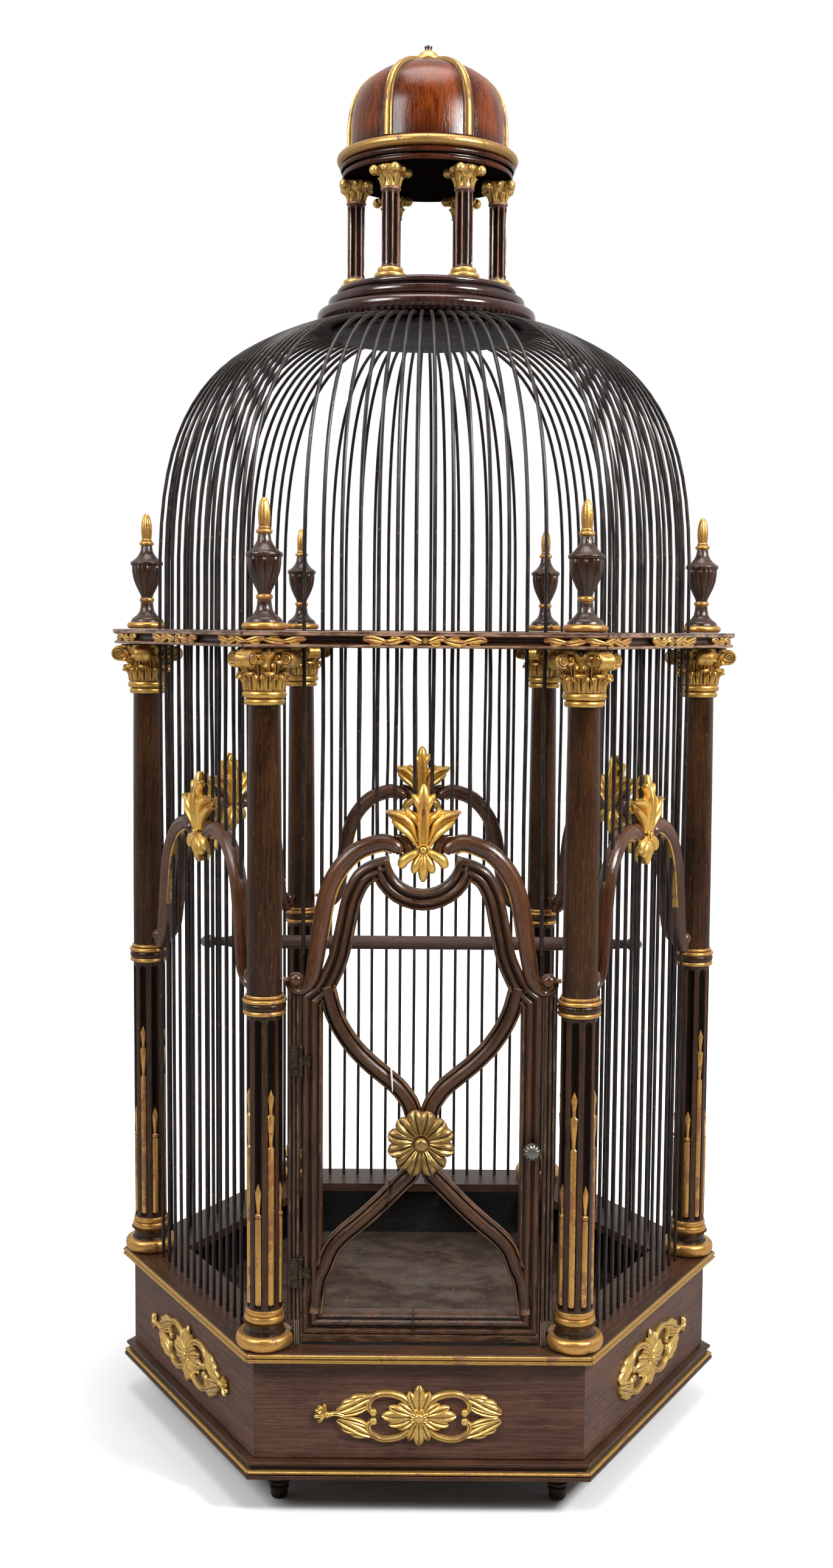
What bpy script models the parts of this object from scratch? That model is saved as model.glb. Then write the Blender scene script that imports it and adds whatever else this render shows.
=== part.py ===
"""A hexagonal wooden birdcage with turned columns, wire sides, a wire dome and a small lantern on top.

Metres, +Z up. The origin is on the floor under the middle of the cage, and the door faces -Y.
Heights that end in _HEIGHT or _TOP and belong to the cage are measured from the top of the base board.
"""

import math

import bmesh
import bpy
from mathutils import Matrix, Vector

# The whole cage
SIDES = 6
COLUMN_CIRCLE = 0.2713
SEAT_GAP = 0.0003
CUT_OVERRUN = 0.004
JOIN_OVERLAP = 0.002
MERGE_DISTANCE = 0.000002

# The base: turned feet, bottom board with its moulding, hollow box, floor and top board
FOOT_HEIGHT = 0.036
FOOT_INSET = 0.039
FOOT_RADIUS = 0.0112
FOOT_STEPS = 8
FOOT_PROFILE_SHARES = ((1.0, 0.62), (0.78, 0.54), (0.76, 0.06), (0.68, 0.0))
PLINTH_OVERHANG = 0.0115
PLINTH_HEIGHT = 0.0155
PLINTH_PROFILE_SHARES = (
    (0.984, 1.0), (0.991, 0.78), (0.984, 0.62), (1.0, 0.5), (0.984, 0.3), (0.970, 0.0),
)
BOTTOM_BOARD = 0.008
BOX_SETBACK = 0.012
BOX_HEIGHT = 0.0885
BOX_WALL = 0.012
FLOOR_DEPTH = 0.068
FLOOR_THICKNESS = 0.008
BOARD_OVERHANG = 0.0287
BOARD_INSIDE = 0.0369
BOARD_THICKNESS = 0.009
BOARD_EDGE_SHARES = ((0.993, 1.0), (1.0, 0.78), (0.996, 0.5), (1.0, 0.22), (0.993, 0.0))

# The pierced ornament on each side of the base
ORNAMENT_WIDTH = 0.146
ORNAMENT_TALL = 0.0525
ORNAMENT_DEPTH = 0.005
ORNAMENT_DROP = 0.0586
ORNAMENT_SHARES = (
    (0.0, 1.0), (0.15, 0.8), (0.23, 0.46), (0.42, 0.80), (0.62, 0.70), (0.82, 0.42),
    (1.0, 0.14), (1.0, -0.14), (0.82, -0.42), (0.62, -0.70), (0.42, -0.80), (0.23, -0.46),
    (0.15, -0.8), (0.0, -1.0),
)
ORNAMENT_HOLE_SHARES = (
    (0.27, 0.30), (0.42, 0.56), (0.55, 0.34), (0.48, 0.0), (0.55, -0.34), (0.42, -0.56),
    (0.27, -0.30),
)

# The six columns
COLUMN_STEPS = 12
COLUMN_FOOT_RADIUS = 0.0254
COLUMN_FOOT_HEIGHT = 0.0135
COLUMN_SCOTIA_RADIUS = 0.0200
COLUMN_RING_RADIUS = 0.0183
COLUMN_RING_HEIGHT = 0.0225
COLUMN_BASE_HEIGHT = 0.0343
LOWER_SHAFT_RADIUS = 0.0157
BAND_DROP = 0.0297
BAND_THICKNESS = 0.0175
BAND_RADIUS = 0.0195
BAND_EDGE_RADIUS = 0.0173
UPPER_SHAFT_RADIUS = 0.0155
SHAFT_TOP_RADIUS = 0.0138

# The carved capitals
CAPITAL_TALL = 0.0485
CAPITAL_RING_RADIUS = 0.0188
CAPITAL_RING_SHARE = 0.25
CAPITAL_BELL_RADIUS = 0.0170
CAPITAL_TOP_RADIUS = 0.0260
CAPITAL_TOP_SHARE = 0.96
CAPITAL_STEPS = 10
VOLUTE_RADIUS = 0.0074
VOLUTE_WIDTH = 0.0156
VOLUTE_CIRCLE = 0.0272
VOLUTE_SIDES = 8
VOLUTES = 4

# The cornice, drilled for the wires
CORNICE_TOP = 0.6224
CORNICE_THICKNESS = 0.014
CORNICE_OVERHANG = 0.0337
CORNICE_INSIDE = 0.0369
CORNICE_EDGE_SHARES = (
    (1.0, 1.0), (1.0, 0.74), (0.986, 0.6), (0.984, 0.38), (0.995, 0.26), (0.995, 0.0),
)

# The urns over the columns
URN_STEPS = 8
URN_TALL = 0.1116
URN_RADIUS = 0.0194
URN_PROFILE_SHARES = (
    (0.25, 0.89), (0.24, 0.775), (0.365, 0.755), (0.265, 0.718), (0.37, 0.645),
    (0.815, 0.575), (0.73, 0.545), (0.62, 0.42), (0.29, 0.277), (0.37, 0.25), (0.29, 0.19),
    (0.40, 0.13), (0.745, 0.08), (1.0, 0.045), (0.96, 0.0),
)

# The wires: a straight length up each side, then the dome
WIRES_PER_SIDE = 14
WIRE_END_MARGIN = 0.0336
WIRE_RADIUS = 0.0017
DOME_RISE = 0.2896
DOME_POWER = 3.5
DOME_SEGMENTS = 5
HOOP_CIRCLE = 0.086
HOOP_RADIUS = 0.0020
HOOP_SEGMENTS = 4

# The arch on each side: two curved bars from scrolls to a carved leaf
SCROLL_MARGIN = 0.02695
SCROLL_LIFT = 0.0137
SCROLL_RADIUS = 0.0088
SCROLL_DEPTH = 0.013
SCROLL_SIDES = 8
SCROLL_PIN_SIDES = 6
SCROLL_PIN_RADIUS = 0.0022
BAR_RADIUS = 0.00775
ARCH_RISE = 0.1191
BAR_SHARES = (
    (0.975, -0.040), (0.900, 0.010), (0.843, 0.140), (0.808, 0.350), (0.757, 0.610),
    (0.675, 0.785), (0.530, 0.930), (0.340, 1.0), (0.215, 0.985), (0.130, 0.910),
    (0.090, 0.820),
)
LEAF_DROP = 0.0327
LEAF_TALL = 0.0824
LEAF_WIDTH = 0.0602
LEAF_DEPTH = 0.012
LEAF_SHARES = (
    (0.0, 1.0), (0.17, 0.893), (0.31, 0.893), (0.26, 0.788), (0.43, 0.727), (1.0, 0.701),
    (0.88, 0.596), (0.62, 0.553), (0.26, 0.422), (0.24, 0.317), (0.40, 0.212),
    (0.67, 0.177), (0.60, 0.110), (0.28, 0.064), (0.0, 0.0),
)

# The door between its two posts
DOOR_FOOT_HEIGHT = 0.003
DOOR_SHOULDER_HEIGHT = 0.310
DOOR_PEAK_GAP = 0.00455
DOOR_PROUD = 0.005
DOOR_THICKNESS = 0.018
DOOR_SWING_GAP = 0.0021
NOTCH_RADIUS = 0.0292
NOTCH_STEPS = 8
SHOULDER_SHARES = (
    (0.868, 0.067), (0.770, 0.177), (0.691, 0.297), (0.642, 0.431), (0.602, 0.552),
    (0.552, 0.696), (0.473, 0.816), (0.376, 0.900), (0.222, 0.960),
)
FRAME_WIDTH = 0.0175
RAIL_WIDTH = 0.0238
STRUT_WIDTH = 0.0158
STRUT_DEPTH = 0.009
STRUT_SET_BACK = 0.001
UPPER_STRUT_SHARES = (
    (0.800, 1.100), (0.784, 1.005), (0.744, 0.888), (0.674, 0.767), (0.563, 0.637),
    (0.431, 0.528), (0.315, 0.449), (0.199, 0.369), (0.127, 0.294), (0.081, 0.222),
)
LOWER_STRUT_SHARES = (
    (0.079, 0.154), (0.149, 0.203), (0.254, 0.265), (0.381, 0.338), (0.516, 0.409),
    (0.647, 0.473), (0.748, 0.540), (0.817, 0.638), (0.862, 0.700), (0.900, 0.860),
)
HUB_HEIGHT = 0.1826
HUB_RADIUS = 0.020
HUB_SIDES = 16
ROSETTE_RADIUS = 0.0296
ROSETTE_DEPTH = 0.007
ROSETTE_PETALS = 12
ROSETTE_SCALLOP_SHARE = 0.92
ROSETTE_BOSS_RADIUS = 0.0088
GLASS_THICKNESS = 0.0025
POST_WIDTH = 0.0104
POST_SETBACK = 0.00045

# The turning knob and its tongue
KNOB_INSET = 0.0078
KNOB_HEIGHT = 0.1779
KNOB_RADIUS = 0.0078
KNOB_LENGTH = 0.0155
KNOB_STEPS = 12
KNOB_PROFILE_SHARES = (
    (0.45, 1.0), (0.9, 0.86), (1.0, 0.66), (0.85, 0.46), (0.48, 0.34), (0.62, 0.1),
    (0.62, 0.0),
)
SPINDLE_RADIUS = 0.0028
SPINDLE_CLEARANCE = 0.0006
TONGUE_LENGTH = 0.024
TONGUE_WIDTH = 0.009
TONGUE_THICKNESS = 0.003

# The two hinges
HINGE_FOOT_INSET = 0.049
HINGE_TOP_INSET = 0.043
HINGE_LENGTH = 0.027
HINGE_BARREL_RADIUS = 0.0020
HINGE_PIN_RADIUS = 0.0009
HINGE_BORE_RADIUS = 0.0014
HINGE_LEAF_WIDTH = 0.0085
HINGE_LEAF_THICKNESS = 0.0009
HINGE_SIDES = 10

# The perch across the cage
PERCH_HEIGHT = 0.294
PERCH_RADIUS = 0.00725
PERCH_BUD_LENGTH = 0.0163
PERCH_BAY = 1
PERCH_BUD_RADIUS = 0.0072
PERCH_STEPS = 10

# The collar that gathers the wires, and the disc under it
COLLAR_RADIUS = 0.105
COLLAR_TALL = 0.0332
COLLAR_STEPS = 20
COLLAR_PROFILE_SHARES = (
    (0.806, 1.0), (0.821, 0.94), (0.821, 0.84), (0.795, 0.76), (0.880, 0.73), (0.900, 0.64),
    (0.890, 0.47), (0.950, 0.42), (1.0, 0.26), (1.0, 0.12), (0.955, 0.0),
)
DISC_RADIUS = 0.0914
DISC_THICKNESS = 0.006
DISC_BOSS_RADIUS = 0.080

# The lantern: six small columns and the cupola
LANTERN_CIRCLE = 0.068
LANTERN_TALL = 0.1026
LANTERN_STEPS = 8
LANTERN_RADIUS = 0.0149
LANTERN_PROFILE_SHARES = (
    (1.18, 1.0), (1.20, 0.93), (0.74, 0.83), (0.62, 0.79), (0.63, 0.77), (0.56, 0.76),
    (0.58, 0.11), (0.84, 0.10), (1.0, 0.0),
)
CUPOLA_RADIUS = 0.0867
CUPOLA_RING_TALL = 0.0270
CUPOLA_RING_SHARES = (
    (0.945, 0.96), (1.0, 0.86), (1.0, 0.72), (0.93, 0.58), (0.965, 0.47), (0.925, 0.34),
    (0.948, 0.16), (0.93, 0.0),
)
CUPOLA_STEPS = 20
DOME_RADIUS = 0.0738
CUPOLA_DOME_RISE = 0.082
CUPOLA_DOME_SEGMENTS = 5
CUPOLA_DOME_POWER = 3.6
FINIAL_RADIUS = 0.0145
FINIAL_TALL = 0.0165
FINIAL_STEPS = 12
FINIAL_PROFILE_SHARES = (
    (0.27, 1.0), (0.21, 0.83), (0.25, 0.72), (0.62, 0.56), (0.68, 0.44), (0.95, 0.2),
    (1.0, 0.0),
)

# Worked out from the sizes above
TURN = 2 * math.pi
SIDE_ANGLE = TURN / SIDES
FACE_SHARE = math.cos(math.pi / SIDES)
WIRE_PLANE = COLUMN_CIRCLE * FACE_SHARE
HALF_SIDE = COLUMN_CIRCLE * math.sin(math.pi / SIDES)
BOARD_CORNER = COLUMN_CIRCLE + BOARD_OVERHANG
BOARD_OPENING = COLUMN_CIRCLE - BOARD_INSIDE
BOX_CORNER = BOARD_CORNER - BOX_SETBACK
BOX_INNER_CORNER = BOX_CORNER - BOX_WALL / FACE_SHARE
PLINTH_CORNER = BOX_CORNER + PLINTH_OVERHANG
FOOT_CIRCLE = BOX_CORNER - FOOT_INSET
PLINTH_TOP = FOOT_HEIGHT + PLINTH_HEIGHT
BOX_TOP = PLINTH_TOP + SEAT_GAP + BOX_HEIGHT
BASE = BOX_TOP + SEAT_GAP + BOARD_THICKNESS
CORNICE_CORNER = COLUMN_CIRCLE + CORNICE_OVERHANG
CORNICE_OPENING = COLUMN_CIRCLE - CORNICE_INSIDE
CORNICE_Z = BASE + CORNICE_TOP
DOME_Z = CORNICE_Z + DOME_RISE
COLLAR_Z = DOME_Z + HOOP_RADIUS + SEAT_GAP
LANTERN_Z = COLLAR_Z + COLLAR_TALL + SEAT_GAP
CUPOLA_Z = LANTERN_Z + LANTERN_TALL + SEAT_GAP
CUPOLA_DOME_Z = CUPOLA_Z + CUPOLA_RING_TALL
WIRE_PITCH = 2 * (HALF_SIDE - WIRE_END_MARGIN) / (WIRES_PER_SIDE - 1)
CAPITAL_HEIGHT = CORNICE_TOP - CORNICE_THICKNESS - SEAT_GAP - CAPITAL_TALL
SCROLL_OFFSET = HALF_SIDE - SCROLL_MARGIN
SCROLL_HEIGHT = DOOR_SHOULDER_HEIGHT + SCROLL_LIFT
BAND_HEIGHT = SCROLL_HEIGHT - BAND_DROP
LEAF_FOOT_HEIGHT = SCROLL_HEIGHT + ARCH_RISE - LEAF_DROP
POST_OUTER = HALF_SIDE - BAND_RADIUS - POST_SETBACK
POST_INNER = POST_OUTER - POST_WIDTH
DOOR_HALF_WIDTH = POST_INNER - DOOR_SWING_GAP
DOOR_PEAK_HEIGHT = SCROLL_HEIGHT + ARCH_RISE - BAR_RADIUS - DOOR_PEAK_GAP
DOOR_FRONT = -WIRE_PLANE - DOOR_PROUD
DOOR_BACK = DOOR_FRONT + DOOR_THICKNESS
KNOB_OFFSET = DOOR_HALF_WIDTH - KNOB_INSET
HINGE_X = -DOOR_HALF_WIDTH - DOOR_SWING_GAP / 2
HINGE_Y = DOOR_FRONT - HINGE_BARREL_RADIUS - SEAT_GAP
HINGE_HEIGHTS = (DOOR_FOOT_HEIGHT + HINGE_FOOT_INSET, DOOR_SHOULDER_HEIGHT - HINGE_TOP_INSET - HINGE_LENGTH)
FACE_NAMES = ("front", "front_right", "back_right", "back", "back_left", "front_left")
CORNER_NAMES = ("front_right", "right", "back_right", "back_left", "left", "front_left")
FIRST_CORNER = -TURN / 4 + SIDE_ANGLE / 2


def clear_scene():
    for thing in list(bpy.data.objects):
        bpy.data.objects.remove(thing, do_unlink=True)


def new_collection(name):
    folder = bpy.data.collections.new(name)
    bpy.context.scene.collection.children.link(folder)
    return folder


def new_material(name, colour, roughness, metallic, alpha=1.0):
    material = bpy.data.materials.new(name)
    material.use_nodes = True
    shader = material.node_tree.nodes["Principled BSDF"]
    shader.inputs["Base Color"].default_value = (*colour, 1.0)
    shader.inputs["Roughness"].default_value = roughness
    shader.inputs["Metallic"].default_value = metallic
    shader.inputs["Alpha"].default_value = alpha
    return material


clear_scene()
PARTS = new_collection("birdcage")
CUTTERS = new_collection("birdcage_cutters")
WALNUT = new_material("dark_walnut", (0.055, 0.030, 0.018), 0.35, 0.0)
MAHOGANY = new_material("mahogany", (0.140, 0.038, 0.016), 0.25, 0.0)
FLOOR_WOOD = new_material("scuffed_floor", (0.070, 0.055, 0.045), 0.6, 0.0)
GILT = new_material("old_gilding", (0.480, 0.290, 0.080), 0.35, 0.8)
WIRE_IRON = new_material("dark_wire", (0.020, 0.014, 0.012), 0.4, 0.3)
PEWTER = new_material("pewter", (0.260, 0.240, 0.220), 0.35, 0.9)
BRASS = new_material("dull_brass", (0.300, 0.220, 0.110), 0.4, 0.9)
GLASS = new_material("glass", (0.850, 0.900, 0.880), 0.05, 0.0, 0.3)


# Making and joining shapes


def add_object(name, data, folder=PARTS):
    thing = bpy.data.objects.new(name, data)
    folder.objects.link(thing)
    return thing


def baked(thing, weld=True):
    """A mesh object with every modifier and curve setting of thing made real. thing is removed."""
    graph = bpy.context.evaluated_depsgraph_get()
    mesh = bpy.data.meshes.new_from_object(thing.evaluated_get(graph), depsgraph=graph)
    solid = bmesh.new()
    solid.from_mesh(mesh)
    solid.transform(thing.matrix_world)
    if weld:
        bmesh.ops.remove_doubles(solid, verts=solid.verts, dist=MERGE_DISTANCE)
        bmesh.ops.recalc_face_normals(solid, faces=solid.faces)
    solid.to_mesh(mesh)
    solid.free()
    name = thing.name
    folder = thing.users_collection[0]
    bpy.data.objects.remove(thing, do_unlink=True)
    return add_object(name, mesh, folder)


def turned(name, profile, steps, closed=False):
    """A turned or polygonal solid. Its profile runs from the axis, down the outer side, to the axis again."""
    mesh = bpy.data.meshes.new(name)
    count = len(profile)
    edges = [(i, i + 1) for i in range(count - 1)]
    if closed:
        edges.append((count - 1, 0))
    mesh.from_pydata([(radius, 0, z) for radius, z in profile], edges, [])
    thing = add_object(name, mesh)
    screw = thing.modifiers.new("turn", "SCREW")
    screw.axis = "Z"
    screw.steps = steps
    screw.render_steps = steps
    screw.use_merge_vertices = True
    screw.merge_threshold = MERGE_DISTANCE
    return thing


def scaled_profile(shares, radius, low, tall):
    return [(share * radius, low + level * tall) for share, level in shares]


def plate(name, outlines, y_front, depth):
    """A flat upright piece that faces -Y. The first outline is its edge, and any others are holes."""
    curve = bpy.data.curves.new(name, "CURVE")
    curve.dimensions = "2D"
    curve.fill_mode = "BOTH"
    curve.extrude = depth / 2
    for outline in outlines:
        spline = curve.splines.new("POLY")
        spline.points.add(len(outline) - 1)
        for point, (x, z) in zip(spline.points, outline):
            point.co = (x, z, 0, 1)
        spline.use_cyclic_u = True
    thing = add_object(name, curve)
    thing.rotation_euler = (TURN / 4, 0, 0)
    thing.location = (0, y_front + depth / 2, 0)
    bpy.context.view_layer.update()
    return baked(thing)


def rod(name, points, radius, resolution):
    """A round bar or wire along points, with 4 + 2 * resolution sides."""
    curve = bpy.data.curves.new(name, "CURVE")
    curve.dimensions = "3D"
    curve.bevel_depth = radius
    curve.bevel_resolution = resolution
    curve.use_fill_caps = True
    spline = curve.splines.new("POLY")
    spline.points.add(len(points) - 1)
    for point, place in zip(spline.points, points):
        point.co = (*place, 1)
    return baked(add_object(name, curve))


def block(name, low, high):
    mesh = bpy.data.meshes.new(name)
    solid = bmesh.new()
    bmesh.ops.create_cube(solid, size=1)
    size = [h - l for l, h in zip(low, high)]
    middle = [(h + l) / 2 for l, h in zip(low, high)]
    bmesh.ops.scale(solid, vec=size, verts=solid.verts)
    bmesh.ops.translate(solid, vec=middle, verts=solid.verts)
    solid.to_mesh(mesh)
    solid.free()
    return add_object(name, mesh)


def drum(name, radius, start, end, sides):
    """A short cylinder whose axis runs from start to end."""
    mesh = bpy.data.meshes.new(name)
    solid = bmesh.new()
    along = Vector(end) - Vector(start)
    bmesh.ops.create_cone(
        solid, cap_ends=True, segments=sides, radius1=radius, radius2=radius, depth=along.length
    )
    turn = Vector((0, 0, 1)).rotation_difference(along.normalized()).to_matrix().to_4x4()
    solid.transform(Matrix.Translation((Vector(start) + Vector(end)) / 2) @ turn)
    solid.to_mesh(mesh)
    solid.free()
    return add_object(name, mesh)


def together(name, things):
    """One mesh object that holds several bodies, which don't touch."""
    solid = bmesh.new()
    for thing in things:
        solid.from_mesh(thing.data)
        bpy.data.objects.remove(thing, do_unlink=True)
    mesh = bpy.data.meshes.new(name)
    solid.to_mesh(mesh)
    solid.free()
    return add_object(name, mesh)


def combine(base, tool, operation):
    """base joined with, or cut by, tool. Both are meshes in world space."""
    boolean = base.modifiers.new(operation.lower(), "BOOLEAN")
    boolean.operation = operation
    boolean.solver = "EXACT"
    boolean.object = tool
    bpy.context.view_layer.update()
    result = baked(base, weld=False)
    PARTS.objects.unlink(tool)
    CUTTERS.objects.link(tool)
    tool.hide_render = True
    tool.display_type = "WIRE"
    return result


def finish(thing, material):
    thing.data.materials.clear()
    thing.data.materials.append(material)
    thing.data.shade_smooth()
    thing.data.set_sharp_from_angle(angle=math.radians(40))
    return thing


def around(model, names, first_angle, step=SIDE_ANGLE):
    """Copies of model, turned about the cage's axis, that share its mesh. model itself is removed."""
    copies = []
    for index, name in enumerate(names):
        copy = add_object(name, model.data)
        copy.rotation_euler = (0, 0, first_angle + index * step)
        copies.append(copy)
    bpy.data.objects.remove(model, do_unlink=True)
    return copies


def hang(things, name, place):
    """Things are put under a new empty at place, on their joint's axis. They stay where they are."""
    axis = add_object(name, None)
    axis.location = place
    for thing in things:
        thing.parent = axis
        thing.matrix_parent_inverse = Matrix.Translation(place).inverted()
    return axis


def moved(thing, offset):
    thing.data.transform(Matrix.Translation(offset))
    return thing


def clearance(place, outline):
    """Distance from place to the nearest edge of a closed outline."""
    distances = []
    for start, end in zip(outline, outline[1:] + outline[:1]):
        run = Vector(end) - Vector(start)
        from_start = place - Vector(start)
        share = max(0, min(1, from_start.dot(run) / run.length_squared))
        distances.append((from_start - run * share).length)
    return min(distances)


def inset(outline, width):
    """A closed anticlockwise outline moved inward, without points that come too near another edge."""
    result = []
    count = len(outline)
    for index in range(count):
        before = Vector(outline[index - 1])
        here = Vector(outline[index])
        after = Vector(outline[(index + 1) % count])
        into = (here - before).normalized()
        out = (after - here).normalized()
        normal_in = Vector((-into.y, into.x))
        normal_out = Vector((-out.y, out.x))
        mitre = (normal_in + normal_out).normalized()
        place = here + mitre * width / mitre.dot(normal_in)
        if clearance(place, outline) > width - MERGE_DISTANCE:
            result.append(tuple(place))
    return result


def strip(points, width):
    """The outline of a band of even width along points."""
    left = []
    right = []
    count = len(points)
    for index in range(count):
        before = Vector(points[max(index - 1, 0)])
        after = Vector(points[min(index + 1, count - 1)])
        along = (after - before).normalized()
        side = Vector((-along.y, along.x)) * width / 2
        here = Vector(points[index])
        left.append(tuple(here + side))
        right.append(tuple(here - side))
    return right + left[::-1]


def mirrored(half):
    """A whole outline from its half at x >= 0, which starts and ends on the middle line."""
    return [(-x, z) for x, z in half[:0:-1]] + [(x, z) for x, z in half[:-1]]


# The base


def make_plinth():
    """Bottom board, its moulding and the six turned feet, which are glued into it."""
    inner = BOX_INNER_CORNER
    board_top = FOOT_HEIGHT + BOTTOM_BOARD
    profile = [(0, board_top), (inner, board_top), (inner, PLINTH_TOP)]
    profile += scaled_profile(PLINTH_PROFILE_SHARES, PLINTH_CORNER, FOOT_HEIGHT, PLINTH_HEIGHT)
    profile.append((0, FOOT_HEIGHT))
    board = baked(turned("plinth", profile, SIDES))
    foot_top = FOOT_HEIGHT + JOIN_OVERLAP
    foot_profile = [(0, foot_top), (FOOT_RADIUS, foot_top)]
    foot_profile += scaled_profile(FOOT_PROFILE_SHARES, FOOT_RADIUS, 0, FOOT_HEIGHT) + [(0, 0)]
    feet = []
    for index in range(SIDES):
        angle = FIRST_CORNER + index * SIDE_ANGLE
        foot = baked(turned("foot", foot_profile, FOOT_STEPS))
        feet.append(moved(foot, (FOOT_CIRCLE * math.cos(angle), FOOT_CIRCLE * math.sin(angle), 0)))
    return finish(combine(board, together("feet", feet), "UNION"), WALNUT)


def make_box():
    low = PLINTH_TOP + SEAT_GAP
    top = [(BOX_INNER_CORNER, BOX_TOP), (BOX_CORNER, BOX_TOP)]
    profile = top + [(BOX_CORNER, low), (BOX_INNER_CORNER, low)]
    return finish(baked(turned("base_box", profile, SIDES, closed=True)), WALNUT)


def make_floor():
    top = BASE - FLOOR_DEPTH
    corner = BOX_INNER_CORNER - SEAT_GAP / FACE_SHARE
    profile = [(0, top), (corner, top), (corner, top - FLOOR_THICKNESS), (0, top - FLOOR_THICKNESS)]
    return finish(baked(turned("floor_board", profile, SIDES)), FLOOR_WOOD)


def make_base_top():
    low = BASE - BOARD_THICKNESS
    profile = [(BOARD_OPENING, BASE)]
    profile += scaled_profile(BOARD_EDGE_SHARES, BOARD_CORNER, low, BOARD_THICKNESS)
    profile.append((BOARD_OPENING, low))
    return finish(baked(turned("base_top", profile, SIDES, closed=True)), WALNUT)


def make_ornaments():
    half_width = ORNAMENT_WIDTH / 2
    half_tall = ORNAMENT_TALL / 2
    middle = BASE - ORNAMENT_DROP
    half = [(x * half_width, middle + z * half_tall) for x, z in ORNAMENT_SHARES]
    hole = [(x * half_width, middle + z * half_tall) for x, z in ORNAMENT_HOLE_SHARES]
    other_hole = [(-x, z) for x, z in hole]
    y_front = -BOX_CORNER * FACE_SHARE - SEAT_GAP - ORNAMENT_DEPTH
    model = plate("ornament", [mirrored(half), hole, other_hole], y_front, ORNAMENT_DEPTH)
    finish(model, GILT)
    return around(model, ["ornament_" + name for name in FACE_NAMES], 0)


# Columns, capitals, cornice and urns


def make_columns():
    band_top = BAND_HEIGHT + BAND_THICKNESS
    top = CAPITAL_HEIGHT - SEAT_GAP
    profile = [
        (0, top),
        (SHAFT_TOP_RADIUS, top),
        (UPPER_SHAFT_RADIUS, band_top),
        (BAND_EDGE_RADIUS, band_top),
        (BAND_RADIUS, BAND_HEIGHT + BAND_THICKNESS * 2 / 3),
        (BAND_RADIUS, BAND_HEIGHT + BAND_THICKNESS / 3),
        (BAND_EDGE_RADIUS, BAND_HEIGHT),
        (LOWER_SHAFT_RADIUS, BAND_HEIGHT),
        (LOWER_SHAFT_RADIUS, COLUMN_BASE_HEIGHT),
        (COLUMN_RING_RADIUS, COLUMN_BASE_HEIGHT),
        (COLUMN_RING_RADIUS, COLUMN_RING_HEIGHT),
        (COLUMN_SCOTIA_RADIUS, COLUMN_FOOT_HEIGHT),
        (COLUMN_FOOT_RADIUS, COLUMN_FOOT_HEIGHT * 2 / 3),
        (COLUMN_FOOT_RADIUS, COLUMN_FOOT_HEIGHT / 3),
        (COLUMN_SCOTIA_RADIUS, SEAT_GAP),
        (0, SEAT_GAP),
    ]
    model = moved(baked(turned("column", profile, COLUMN_STEPS)), (COLUMN_CIRCLE, 0, BASE))
    finish(model, WALNUT)
    return around(model, ["column_" + name for name in CORNER_NAMES], FIRST_CORNER)


def make_capitals():
    """A bell on two rings, with four volutes: outward, inward and to both sides."""
    ring_top = CAPITAL_HEIGHT + CAPITAL_RING_SHARE * CAPITAL_TALL
    top = CAPITAL_HEIGHT + CAPITAL_TALL
    cap_low = CAPITAL_HEIGHT + CAPITAL_TOP_SHARE * CAPITAL_TALL
    profile = [
        (0, top),
        (CAPITAL_TOP_RADIUS, top),
        (CAPITAL_TOP_RADIUS, cap_low),
        (CAPITAL_BELL_RADIUS, ring_top),
        (CAPITAL_RING_RADIUS, ring_top),
        (CAPITAL_RING_RADIUS, (ring_top + CAPITAL_HEIGHT) / 2),
        (CAPITAL_BELL_RADIUS, CAPITAL_HEIGHT),
        (0, CAPITAL_HEIGHT),
    ]
    bell = baked(turned("capital", profile, CAPITAL_STEPS))
    volute_z = cap_low - VOLUTE_RADIUS + JOIN_OVERLAP / 2
    volutes = []
    for index in range(VOLUTES):
        angle = index * TURN / VOLUTES
        outward = Vector((math.cos(angle), math.sin(angle), 0))
        sideways = Vector((-outward.y, outward.x, 0)) * VOLUTE_WIDTH / 2
        middle = outward * VOLUTE_CIRCLE + Vector((0, 0, volute_z))
        volutes.append(drum("volute", VOLUTE_RADIUS, middle - sideways, middle + sideways, VOLUTE_SIDES))
    model = combine(bell, together("volutes", volutes), "UNION")
    moved(model, (COLUMN_CIRCLE, 0, BASE))
    finish(model, GILT)
    return around(model, ["capital_" + name for name in CORNER_NAMES], FIRST_CORNER)


def wire_offsets():
    """Where the wires of one side stand, measured along the side from its middle."""
    return [(index - (WIRES_PER_SIDE - 1) / 2) * WIRE_PITCH for index in range(WIRES_PER_SIDE)]


def make_cornice():
    low = CORNICE_Z - CORNICE_THICKNESS
    profile = [(CORNICE_OPENING, CORNICE_Z)]
    profile += scaled_profile(CORNICE_EDGE_SHARES, CORNICE_CORNER, low, CORNICE_THICKNESS)
    profile.append((CORNICE_OPENING, low))
    board = baked(turned("cornice", profile, SIDES, closed=True))
    half = WIRE_RADIUS + SEAT_GAP
    drills = []
    for side in range(SIDES):
        turn = Matrix.Rotation(side * SIDE_ANGLE, 4, "Z")
        for offset in wire_offsets():
            low_corner = (offset - half, -WIRE_PLANE - half, low - CUT_OVERRUN)
            high_corner = (offset + half, -WIRE_PLANE + half, CORNICE_Z + CUT_OVERRUN)
            drill = block("drill", low_corner, high_corner)
            drill.data.transform(turn)
            drills.append(drill)
    return finish(combine(board, together("wire_drills", drills), "DIFFERENCE"), WALNUT)


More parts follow.
